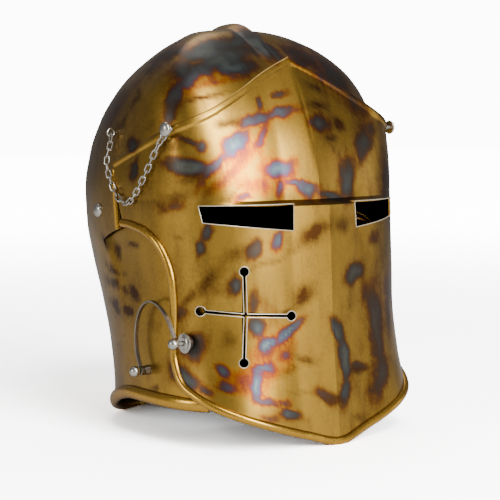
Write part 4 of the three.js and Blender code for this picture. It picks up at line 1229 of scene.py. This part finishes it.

# %% [markdown]
# ## Finish
#
# Brass that is heated with a torch takes tempering colours. As the oxide film thickens, bare gold turns
# straw, orange, red-brown, purple, steel blue and at last a pale teal, so every hot patch has the cooler
# colours round it as fringes. One number, the heat, is enough for all of them: a colour ramp turns it into
# the film's colour. Drops of flux leave brown ovals, which are a second number, and a third is a painted
# highlight: it says where the highlights fall, where the film's colours are painted brighter and more vivid.
# All three are charted as turned ovals, in the view from the front right.

# %% Chart of the torch patches
# The chart is as wide and high as the camera's view, 500 units.
# across, down, half length, half width, tilt in degrees, heat at the middle
HEAT_PATCHES = [
    # crown and dome
    (207, 50, 27, 9, 12, 0.95),
    (224, 59, 25, 9, 8, 1.0),
    (238, 40, 15, 8, 40, 0.88),
    (234, 67, 22, 6, 5, 0.92),
    (182, 71, 15, 11, 30, 0.85),
    (192, 77, 17, 8, 45, 0.88),
    (176, 97, 21, 6.5, 62, 0.88),
    (170, 115, 12, 5, 76, 0.82),
    (198, 68, 26, 9, 20, 0.85),
    (222, 80, 30, 5, 12, 0.4),
    (186, 98, 12, 9, 35, 0.36),
    (160, 62, 20, 8, 40, 0.6),
    (173, 52, 18, 6, 30, 0.62),
    (113, 112, 22, 6, 62, 0.5),
    (140, 82, 14, 5, 50, 0.34),
    (300, 56, 22, 6, -28, 0.7),
    (332, 76, 28, 11, -45, 0.68),
    (352, 100, 20, 7, -50, 0.62),
    (254, 42, 22, 8, -50, 0.95),
    (268, 50, 14, 5, -45, 0.8),
    # upper visor, right face of the helmet
    (236, 145, 17, 9, 52, 1.0),
    (217, 164, 13, 5, 56, 0.76),
    (254, 120, 17, 6, 8, 0.84),
    (282, 113, 19, 5.5, 12, 0.82),
    (258, 104, 8, 2.6, 95, 0.7),
    (280, 94, 9, 3.8, 0, 0.78),
    (260, 137, 19, 4.5, 70, 0.7),
    (277, 169, 15, 10, 8, 0.95),
    (296, 184, 12, 3.8, -10, 0.85),
    (307, 190, 11, 6, 0, 0.88),
    (254, 186, 20, 9, -18, 0.45),
    (243, 159, 20, 9, 55, 0.46),
    (226, 178, 24, 5, 45, 0.37),
    (212, 190, 18, 4, 48, 0.33),
    (262, 160, 14, 6, 60, 0.4),
    (247, 196, 10, 3.6, 0, 0.78),
    (280, 190, 8, 4, 85, 0.62),
    (292, 176, 10, 5, 80, 0.42),
    (191, 141, 15, 4, -20, 0.84),
    (203, 144, 6, 6, 0, 0.8),
    (184, 167, 22, 8, -5, 0.95),
    (172, 160, 9, 5, 10, 0.7),
    (209, 170, 13, 4.5, 60, 0.68),
    (135, 168, 12, 4, 80, 0.92),
    (133, 144, 6, 6, 0, 0.8),
    (172, 206, 13, 6, 10, 0.62),
    (200, 186, 12, 5, 70, 0.52),
    # lower visor, right face of the helmet
    (278, 240, 10, 4.8, 66, 0.9),
    (254, 251, 10, 7, 60, 0.9),
    (206, 230, 11, 5.5, 50, 0.88),
    (198, 247, 8, 4, 80, 0.9),
    (236, 286, 8, 6, 70, 0.86),
    (254, 301, 13, 5.5, 80, 0.7),
    (258, 327, 10, 8, 90, 0.97),
    (268, 345, 13, 5.5, 15, 0.97),
    (289, 333, 18, 5.2, 45, 1.0),
    (272, 350, 26, 10, 12, 0.46),
    (268, 310, 18, 7, -60, 0.33),
    (284, 359, 6, 5.5, 0, 0.72),
    (264, 369, 12, 4.2, 0, 0.88),
    (258, 385, 13, 5, 80, 0.9),
    (265, 400, 11, 4.5, -5, 0.86),
    (281, 402, 9, 3.4, 0, 0.64),
    (224, 370, 9, 5, -20, 0.84),
    (226, 386, 13, 6, 0, 0.78),
    (246, 380, 26, 15, 0, 0.43),
    (272, 376, 22, 7, 20, 0.4),
    (291, 416, 13, 5.5, -10, 0.94),
    (270, 418, 14, 4, -14, 0.6),
    (192, 346, 11, 12, 0, 0.86),
    (184, 378, 16, 8, -50, 0.9),
    (203, 392, 10, 5, -25, 0.7),
    (180, 314, 8, 7, 0, 0.66),
    (327, 396, 9, 3.8, -20, 0.86),
    # left face of the helmet
    (318, 124, 9, 5.5, -35, 0.86),
    (364, 144, 15, 7, 80, 0.9),
    (368, 127, 9, 8, 0, 0.66),
    (348, 178, 21, 7, 85, 0.95),
    (331, 196, 12, 4, 0, 0.84),
    (354, 274, 9.5, 6.5, 60, 0.92),
    (338, 331, 13, 4.5, 100, 0.92),
    (343, 360, 23, 5, -85, 0.97),
    (345, 392, 14, 6, 90, 0.97),
    (376, 328, 42, 6.5, -87, 0.88),
    (379, 376, 26, 7, 90, 0.84),
    (371, 296, 15, 8, 90, 0.6),
    (360, 366, 9, 3.6, 10, 0.78),
    (374, 238, 5.5, 5.5, 0, 0.64),
    (388, 300, 30, 5, -88, 0.55),
    (384, 180, 30, 6, 90, 0.5),
]
# across, down, half length, half width, tilt in degrees, strength
FLUX_SPOTS = [
    (204, 98, 22, 1.7, 12, 0.85),
    (135, 100, 11, 2.6, 60, 0.8),
    (122, 122, 13, 4, 56, 0.75),
    (152, 67, 13, 2.8, 46, 0.7),
    (150, 123, 4, 3, 20, 0.6),
    (146, 128, 3, 2, 20, 0.5),
    (124, 95, 10, 3, 50, 0.5),
    (302, 58, 15, 4, -28, 0.8),
    (228, 121, 9.5, 4.4, 6, 0.8),
    (172, 144, 14, 7, 8, 0.6),
    (190, 180, 14, 6, 20, 0.55),
    (172, 198, 17, 6, 12, 0.6),
    (152, 186, 6, 14, 0, 0.4),
    (208, 196, 11, 5, 50, 0.55),
    (228, 196, 14, 2.2, 48, 0.45),
    (160, 206, 10, 3, -20, 0.5),
    (314, 89, 11, 3.6, -20, 0.85),
    (337, 123, 10.5, 6, -35, 1.0),
    (318, 106, 9, 4, -15, 0.9),
    (332, 138, 6.5, 5, -20, 0.75),
    (337, 150, 7, 1.8, -60, 0.6),
    (346, 128, 7, 1.6, -55, 0.7),
    (362, 116, 12, 5, 60, 0.55),
    (360, 160, 14, 2, 80, 0.5),
    (370, 200, 12, 3, 80, 0.5),
    (314, 234, 16, 8, 36, 0.95),
    (302, 246, 14, 3, 30, 0.6),
    (344, 224, 9.5, 8, 10, 0.7),
    (301, 296, 15, 7, 50, 0.9),
    (285, 309, 12, 2.6, 34, 0.7),
    (230, 340, 9, 7, 30, 0.6),
    (306, 360, 11, 4, -5, 0.75),
    (292, 372, 11, 3, 30, 0.5),
    (331, 398, 11, 4.5, -25, 0.75),
    (306, 392, 14, 2.4, -8, 0.45),
    (240, 254, 16, 7, 18, 0.65),
    (270, 262, 22, 2.5, 22, 0.5),
    (207, 284, 24, 9, 50, 0.7),
    (190, 298, 13, 6, 50, 0.8),
    (217, 291, 12, 8, 20, 0.5),
    (224, 262, 14, 4, 40, 0.45),
    (179, 236, 4, 1.2, 0, 0.6),
    (358, 370, 10, 4.5, 12, 0.75),
    (364, 326, 6, 14, 10, 0.4),
    (362, 345, 5, 10, 0, 0.4),
    (357, 230, 5, 30, 0, 0.35),
    (382, 258, 24, 4, 88, 0.5),
    (362, 418, 8, 5, 0, 0.5),
    (350, 300, 4, 16, 5, 0.35),
    # cheek
    (106.7, 242.5, 7, 2.6, -62, 0.7),
    (120, 252.5, 8, 3, -62, 0.85),
    (133, 244, 3.4, 3, 0, 0.8),
    (112.5, 268, 9, 3.6, -60, 0.85),
    (124, 273, 5, 2.6, -60, 0.6),
    (111, 283, 8, 4, -60, 0.8),
    (123, 291, 6, 3.2, -60, 0.8),
    (133, 295, 9.5, 4.4, -60, 0.95),
    (115, 307, 8, 3.2, -60, 0.85),
    (127, 311, 7.5, 3.6, -65, 1.0),
    (153, 328, 10, 10, 0, 0.4),
    (155, 388, 4.5, 3.2, -60, 0.7),
    (148, 345, 5, 9, 0, 0.35),
    (125, 335, 4, 3, -60, 0.5),
    (118, 345, 4, 3, -60, 0.45),
    # dull stretches
    (126, 320, 36, 70, 0, 0.34),
    (374, 300, 24, 130, 0, 0.32),
    (348, 130, 30, 50, -30, 0.3),
    (150, 190, 40, 22, 10, 0.3),
    (100, 140, 60, 20, 66, 0.4),
    (186, 300, 26, 50, 0, 0.3),
    (170, 110, 30, 30, 0, 0.24),
]
# Painted highlight: where the highlights fall, the film's colours are painted in a brighter, more vivid copy,
# so that their orange and magenta show: the same columns.
HIGHLIGHT_PATCHES = [
    (256, 158, 46, 30, 40, 1.0),
    (270, 180, 34, 22, 0, 1.0),
    (262, 374, 38, 26, 0, 0.9),
    (276, 345, 26, 14, 30, 0.8),
    (278, 246, 14, 10, 60, 0.5),
    (206, 82, 34, 10, 15, 0.5),
    (300, 60, 24, 10, -28, 0.4),
]
print(len(HEAT_PATCHES), "patches", len(FLUX_SPOTS), "spots")

# %% [markdown]
# ## Laying the chart on the sheet
#
# An image texture would need a picture, and a pattern made of noise alone would put the patches anywhere.
# The chart is laid on from its view instead: each vertex asks where it would be seen, noise shifts that
# place so that the ovals get flame-like edges, and the strongest oval there gives the vertex its value. The
# side that the view doesn't see gets the mirrored chart.

# %% Laying the chart on the sheet
CHART_WIDTH = 500
CHART_MIDDLE = CHART_WIDTH / 2
CHART_SCALE = CHART_WIDTH * LENS / SENSOR
CHART_SEED = 5
OVAL_SOFTNESS = 0.8
OVAL_POWER = 2.3
MIRRORED_SHARE = 0.9
RAGGED = 4.6  # how far noise shifts an edge on the chart
RAGGED_SIZES = [(0.04, 1), (0.12, 0.6), (0.3, 0.35)]  # noise per millimetre, and its share
SEEN_SLOPE = 5
SEEN_START = 0.6

noise.seed_set(CHART_SEED)
view_turn = -math.radians(CAMERA_TURN)
view_dip = math.radians(CAMERA_DIP)
view_forward = Vector((math.sin(view_turn), math.cos(view_turn), 0)) * math.cos(view_dip)
view_forward.z = -math.sin(view_dip)
view_right = Vector((math.cos(view_turn), -math.sin(view_turn), 0))
view_up = view_right.cross(view_forward)


def chart_value(chart, across, down):
    """Strongest oval of the chart at each point, with soft edges."""
    value = np.zeros_like(across)
    for middle_across, middle_down, length, width, tilt, strength in chart:
        turn = math.radians(tilt)
        dx, dy = across - middle_across, middle_down - down
        along = (dx * math.cos(turn) + dy * math.sin(turn)) / length
        side = (dy * math.cos(turn) - dx * math.sin(turn)) / width
        fall = (OVAL_SOFTNESS * np.sqrt(along**2 + side**2)) ** OVAL_POWER
        value = np.maximum(value, strength * np.exp(-fall))
    return value


def ragged_shift(p):
    """Noise in three sizes, for flame-like edges."""
    return sum((noise.noise_vector(p * size) * share for size, share in RAGGED_SIZES), Vector())


def seen_on_chart(points, normals, shift):
    """Where each point lies on the chart, and how well the chart's view sees it."""
    away = points - np.array(VIEW_PLACE)
    depth = away @ np.array(view_forward)
    across = CHART_MIDDLE + CHART_SCALE * (away @ np.array(view_right)) / depth + shift[:, 0] * RAGGED
    down = CHART_MIDDLE - CHART_SCALE * (away @ np.array(view_up)) / depth + shift[:, 1] * RAGGED
    facing = -np.sum(normals * away, axis=1) / np.linalg.norm(away, axis=1)
    return across, down, np.clip(facing * SEEN_SLOPE + SEEN_START, 0, 1)


def lay_chart(piece):
    """Gives the piece its temper, flux and bright attributes."""
    data = piece.data
    flat = np.empty(len(data.vertices) * 3)
    data.vertices.foreach_get("co", flat)
    points = flat.reshape(-1, 3) / MM - np.array((MIDDLE_X, -MIDDLE_Y, 0))
    data.vertices.foreach_get("normal", flat)
    normals = flat.reshape(-1, 3).copy()
    shift = np.array([ragged_shift(Vector(p)) for p in points])
    mirror = (-1, 1, 1)
    across, down, seen = seen_on_chart(points, normals, shift)
    other_across, other_down, other_seen = seen_on_chart(points * mirror, normals * mirror, shift)
    other_seen *= MIRRORED_SHARE * (1 - seen)
    # bright is the painted highlight mask, laid where the highlights fall.
    for name, chart in (("temper", HEAT_PATCHES), ("flux", FLUX_SPOTS), ("bright", HIGHLIGHT_PATCHES)):
        values = seen * chart_value(chart, across, down)
        values += other_seen * chart_value(chart, other_across, other_down)
        layer = data.attributes.new(name, "FLOAT", "POINT")
        layer.data.foreach_set("value", values.astype(np.float32))
        print(piece.name, "mean", name, round(float(values.mean()), 3))


print("chart seen along", [round(c, 3) for c in view_forward])

# %% [markdown]
# ## Wear
#
# Every metal here shows the same fine wear: brush scratches, grain, soft clouds and flame-like streaks. They
# are noise at four scales on Object coordinates, stretched along the brushing where they should run. Built
# once as a group with named outputs, they serve each material at its own scale.

# %% Shared group: fine wear
def new_group(name, inputs, outputs):
    """A shader node group with named inputs and outputs, given as (name, socket kind, default)."""
    group = bpy.data.node_groups.new(name, "ShaderNodeTree")
    for direction, sockets in (("INPUT", inputs), ("OUTPUT", outputs)):
        for socket_name, kind, default in sockets:
            kind = "NodeSocket" + kind
            socket = group.interface.new_socket(socket_name, in_out=direction, socket_type=kind)
            if default is not None:
                socket.default_value = default
    return group, group.nodes.new("NodeGroupInput"), group.nodes.new("NodeGroupOutput")


def maths(tree, operation, a, b=0.0, clamp=False):
    return node(tree, "Math", {"operation": operation, "use_clamp": clamp}, x0=a, x1=b).outputs[0]


# output: base scale, detail, roughness, turn and stretch of the pattern
WEAR_NOISES = {
    "Scratches": (900.0, 4.0, 0.7, (0.0, 0.5, 0.3), (1.0, 1.0, 0.06)),
    "Grain": (420.0, 5.0, 0.65, None, None),
    "Clouds": (26.0, 4.0, 0.6, None, None),
    "Streaks": (95.0, 3.0, 0.55, (0.0, 0.85, 0.0), (1.0, 0.5, 0.28)),
}

wear_group, wear_in, wear_out = new_group(
    "fine wear", [("Scale", "Float", 1.0)], [(name, "Float", None) for name in WEAR_NOISES]
)
where = node(wear_group, "TexCoord").outputs["Object"]
for name, (base_scale, detail, roughness, turn, stretch) in WEAR_NOISES.items():
    pattern = where
    if turn:
        pattern = node(wear_group, "Mapping", Vector=where, Rotation=turn, Scale=stretch).outputs[0]
    scale = maths(wear_group, "MULTIPLY", wear_in.outputs["Scale"], base_scale)
    made = node(wear_group, "TexNoise", Vector=pattern, Scale=scale, Detail=detail, Roughness=roughness)
    wear_group.links.new(made.outputs[0], wear_out.inputs[name])
print("wear outputs", list(WEAR_NOISES))

# %% [markdown]
# ## Tempering colours
#
# Away from the highlights the film goes through dull browns to a grey blue. Where the highlights fall, a
# painted highlight shows the same heat as orange, magenta and steel blue: a lit, more vivid copy of the real
# tempering colours. Both are colour ramps over the heat, and the bright mask mixes them. The wear's noises
# are added to the heat first, so that the fringes break up along the brushing.

# %% Shared group: tempering colours
GOLD = (0.6, 0.345, 0.052)
FLUX_BROWN = (0.1, 0.038, 0.01, 1)
DARK_FILM = [
    (0.0, GOLD),
    (0.16, (0.5, 0.29, 0.05)),
    (0.3, (0.4, 0.195, 0.03)),
    (0.42, (0.26, 0.11, 0.025)),
    (0.54, (0.15, 0.075, 0.035)),
    (0.66, (0.1, 0.075, 0.055)),
    (0.82, (0.095, 0.1, 0.095)),
    (1.0, (0.135, 0.15, 0.125)),
]
# Painted highlight: a lit, brighter and more vivid copy of the film's colours, used where the highlights fall.
LIT_FILM = [
    (0.0, GOLD),
    (0.1, (0.66, 0.36, 0.04)),
    (0.22, (0.74, 0.28, 0.012)),
    (0.34, (0.62, 0.14, 0.012)),
    (0.46, (0.36, 0.065, 0.045)),
    (0.56, (0.22, 0.08, 0.12)),
    (0.68, (0.15, 0.13, 0.2)),
    (0.82, (0.13, 0.18, 0.23)),
    (1.0, (0.24, 0.34, 0.35)),
]
# How strongly each wear noise, measured from its middle, shifts the heat and the flux.
HEAT_SHIFTS = {"Grain": 0.2, "Clouds": 0.55, "Streaks": 0.7}
FLUX_SHIFTS = {"Grain": 0.5, "Streaks": 0.5}
FLUX_STRENGTH = 1.25


def ramp(tree, value, stops):
    """A colour ramp with its stops, given as (position, colour)."""
    made = node(tree, "ValToRGB", x0=value)
    elements = made.color_ramp.elements
    for element, (position, colour) in zip(elements, (stops[0], stops[-1])):
        element.position = position
        element.color = (*colour, 1)
    for position, colour in stops[1:-1]:
        elements.new(position).color = (*colour, 1)
    return made.outputs[0]


def shifted(tree, value, source, shifts):
    """The value, with noises from the source's outputs added to it round their middle."""
    for name, strength in shifts.items():
        swing = maths(tree, "SUBTRACT", source.outputs[name], 0.5)
        value = maths(tree, "ADD", value, maths(tree, "MULTIPLY", swing, strength))
    return value


temper_inputs = [(name, "Float", 0.0) for name in ("Heat", "Flux", "Bright")]
temper_inputs += [(name, "Float", 0.5) for name in ("Clouds", "Grain", "Streaks")]
temper_group, temper_in, temper_out = new_group(
    "tempering colours", temper_inputs, [("Colour", "Color", None), ("Film", "Float", None)]
)
heat = shifted(temper_group, temper_in.outputs["Heat"], temper_in, HEAT_SHIFTS)
films = ramp(temper_group, heat, DARK_FILM), ramp(temper_group, heat, LIT_FILM)
# The bright mask, a painted highlight, mixes in the lit copy of the film's colours.
tempered = blend(temper_group, temper_in.outputs["Bright"], *films)
flux = shifted(temper_group, temper_in.outputs["Flux"], temper_in, FLUX_SHIFTS)
flux = maths(temper_group, "MULTIPLY", flux, FLUX_STRENGTH, clamp=True)
browned = blend(temper_group, flux, tempered, FLUX_BROWN)
temper_group.links.new(browned, temper_out.inputs["Colour"])
temper_group.links.new(maths(temper_group, "MAXIMUM", heat, flux, clamp=True), temper_out.inputs["Film"])
print("film colours", len(DARK_FILM), "and", len(LIT_FILM))

# %% [markdown]
# ## Brass
#
# The sheet's outside and its rolled rims are the same brass, but hands have rubbed the rims bright, so they
# take little of the heat's colour. A metal mirrors the room at its edges, and this room is dark there, so
# its colour is darkened where it turns away. That needs the view's angle, which is taken in the material
# itself.

# %% Materials: brass outside, rims and inside
EDGE_BEND = 0.42
SCRATCH_ROUGHNESS = 0.16
FILM_ROUGHNESS = 0.1
DENTS = {"Strength": 0.12, "Distance": 0.0004}


def grouped(tree, group, **inputs):
    made = tree.nodes.new("ShaderNodeGroup")
    made.node_tree = group
    for key, value in inputs.items():
        if isinstance(value, bpy.types.NodeSocket):
            tree.links.new(value, made.inputs[key])
        else:
            made.inputs[key].default_value = value
    return made.outputs


def edge_shade(tree, colour, dark, bend):
    """Darkens a metal where it turns away, as the unlit room does."""
    turned_away = node(tree, "LayerWeight", Blend=bend).outputs["Facing"]
    return blend(tree, turned_away, colour, dark, "MULTIPLY")


def brass_material(name, tint, heat_share, roughness, dark):
    """Brass that takes the given share of the heat's colours."""
    material, tree, shader = shader_material(name)
    wear = grouped(tree, wear_group, Scale=1.0)
    laid = {}
    for key in ("temper", "flux", "bright"):
        laid[key] = node(tree, "Attribute", {"attribute_name": key}).outputs["Fac"]
    streaks = maths(tree, "ADD", maths(tree, "MULTIPLY", wear["Streaks"], heat_share), 0.5 - 0.5 * heat_share)
    # Bright carries the painted highlight mask into the tempering colours.
    temper = grouped(
        tree,
        temper_group,
        Heat=maths(tree, "MULTIPLY", laid["temper"], heat_share),
        Flux=maths(tree, "MULTIPLY", laid["flux"], heat_share),
        Bright=laid["bright"],
        Clouds=wear["Clouds"],
        Grain=wear["Grain"],
        Streaks=streaks,
    )
    colour = blend(tree, 1.0, temper["Colour"], tint, "MULTIPLY")
    # Painted reflection: the colour is darkened where the sheet turns away, for the dark room that it mirrors
    # there.
    tree.links.new(edge_shade(tree, colour, dark, EDGE_BEND), shader.inputs["Base Color"])
    rough = maths(tree, "ADD", maths(tree, "MULTIPLY", wear["Scratches"], SCRATCH_ROUGHNESS), roughness)
    rough = maths(tree, "ADD", rough, maths(tree, "MULTIPLY", temper["Film"], FILM_ROUGHNESS))
    tree.links.new(rough, shader.inputs["Roughness"])
    shader.inputs["Metallic"].default_value = 1
    bump = node(tree, "Bump", Height=wear["Clouds"], **DENTS)
    tree.links.new(bump.outputs[0], shader.inputs["Normal"])
    return material


patina = brass_material(
    "tempered brass", tint=(1, 1, 1, 1), heat_share=1.0, roughness=0.22, dark=(0.2, 0.18, 0.17, 1)
)
rim_brass = brass_material(
    "rubbed rim", tint=(1.15, 1.12, 1.05, 1), heat_share=0.25, roughness=0.2, dark=(0.4, 0.34, 0.28, 1)
)

# Painted shade: the inside, and the skull's cut edges, are coloured nearly black for the shade inside the
# helmet and behind its openings; the wear's clouds vary it a little.
inner_brass, tree, shader = shader_material("dark inside")
wear = grouped(tree, wear_group, Scale=0.6)
painted_inner_shade = ramp(tree, wear["Clouds"], [(0.3, (0.006, 0.0045, 0.003)), (0.7, (0.014, 0.01, 0.006))])
tree.links.new(painted_inner_shade, shader.inputs["Base Color"])
shader.inputs["Specular IOR Level"].default_value = 0.15
shader.inputs["Roughness"].default_value = 0.8
print("brass", [patina.name, rim_brass.name, inner_brass.name])

# %% [markdown]
# ## Nickel, the hook and painted edge highlights
#
# The studs and the chain are nickel plated, the hook is duller and worn, and along each cut a pale brass
# line is a painted highlight, for the light that the cut edge catches. Small round metal reads by its
# highlights, so these keep a plain colour that the wear only clouds, and their scratches are finer than the
# sheet's.

# %% Materials: fittings and cut edges
FITTING_BEND = 0.4
FITTING_SCRATCHES = 0.2


def fitting_metal(name, scale, clouded, roughness, dark):
    """A plain metal whose colour wanders between two tones. Its scratches roughen it."""
    material, tree, shader = shader_material(name)
    wear = grouped(tree, wear_group, Scale=scale)
    colour = ramp(tree, wear["Clouds"], clouded)
    # Painted reflection: the colour is darkened where the metal turns away, for the dark room that it mirrors
    # there.
    tree.links.new(edge_shade(tree, colour, dark, FITTING_BEND), shader.inputs["Base Color"])
    rough = maths(tree, "ADD", maths(tree, "MULTIPLY", wear["Scratches"], FITTING_SCRATCHES), roughness)
    tree.links.new(rough, shader.inputs["Roughness"])
    shader.inputs["Metallic"].default_value = 1
    return material


NICKEL_TONES = [(0.3, (0.5, 0.47, 0.41)), (0.65, (0.72, 0.69, 0.63))]
HOOK_TONES = [(0.3, (0.26, 0.23, 0.19)), (0.65, (0.42, 0.38, 0.32))]
# Painted highlight tones for the lines along the cuts.
EDGE_HIGHLIGHT_TONES = [(0.3, (0.72, 0.58, 0.34)), (0.6, (0.95, 0.85, 0.66))]

nickel = fitting_metal("nickel", 2.4, NICKEL_TONES, roughness=0.2, dark=(0.3, 0.29, 0.27, 1))
worn_hook = fitting_metal("worn hook", 2.0, HOOK_TONES, roughness=0.26, dark=(0.3, 0.28, 0.26, 1))

# Painted highlight: the pale brass colour of the lines along the cuts stands in for the light that a cut edge
# catches.
edge_highlight_paint, tree, shader = shader_material("painted edge highlight")
wear = grouped(tree, wear_group, Scale=3.0)
tree.links.new(ramp(tree, wear["Grain"], EDGE_HIGHLIGHT_TONES), shader.inputs["Base Color"])
shader.inputs["Roughness"].default_value = 0.35
shader.inputs["Metallic"].default_value = 0.8
print("materials", [m.name for m in bpy.data.materials])

# %% [markdown]
# ## Pieces
#
# Each mesh becomes an object at the frame's origin that rides on the body it belongs to and stands in for
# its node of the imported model. Faces are shaded smooth, and edges sharper than a set angle stay crisp. Every
# link and stud is an object of its own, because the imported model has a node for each.

# %% Pieces of sheet
SHARP_ANGLE = 32
ON_MIDDLE = 1e-6  # metres


def finish_piece(name, mesh, materials, body):
    """Makes a piece of a bmesh: smooth but for sharp edges, in its node's place, riding on its body."""
    data = bpy.data.meshes.new(name)
    mesh.to_mesh(data)
    mesh.free()
    for material in materials:
        data.materials.append(material)
    for polygon in data.polygons:
        polygon.use_smooth = True
    data.set_sharp_from_angle(angle=math.radians(SHARP_ANGLE))
    piece = bpy.data.objects.new(name, data)
    bpy.context.collection.objects.link(piece)
    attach(piece, body)
    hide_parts(name)
    print(name, len(data.polygons), "faces")
    return piece


def crease_keel(piece):
    """The visor's keel is a crisp fold: its middle edges are sharp outside."""
    data = piece.data
    for edge in data.edges:
        ends = [data.vertices[v].co for v in edge.vertices]
        if all(abs(c.x - MIDDLE_X * MM) < ON_MIDDLE for c in ends):
            edge.use_edge_sharp = True


sheet_materials = [patina, inner_brass, rim_brass]
skull_piece = finish_piece("skull", skull, sheet_materials, "skull")
visor_piece = finish_piece("visor", visor, sheet_materials + [edge_highlight_paint], "visor")
crease_keel(visor_piece)
lay_chart(skull_piece)
lay_chart(visor_piece)

# %% Fittings and chain as pieces
for side, name in ((-1, "right"), (1, "left")):
    finish_piece(f"temple_stud_{name}", turned(side, *PIVOT, temple_stud), [nickel], "skull")
    finish_piece(f"side_rivet_{name}", turned(side, *RIVET, side_rivet), [nickel], "skull")
finish_piece("hook_stud", turned(-1, *HOOK_STUD, hook_stud), [nickel], "skull")
finish_piece("hook", hook, [worn_hook], "hook")
finish_piece("catch_stud", turned(-1, *CATCH, catch_stud), [nickel], "visor")
finish_piece("catch_washer", turned(-1, *CATCH, washer), [nickel], "visor")
finish_piece("chain_eye_pin", eye_pin, [nickel], "skull")
for k, link in enumerate(links, 1):
    finish_piece(f"chain_link_{k:02d}", link, [nickel], "skull")
finish_piece("chain_end_link", end_link, [nickel], "skull")

# %% [markdown]
# ## Sizes
#
# The imported model's box, measured at the start, is printed here. The dressed helmet has to stay inside the
# imported model's box.

# %% Sizes
print("CAD box", CAD_BOX)
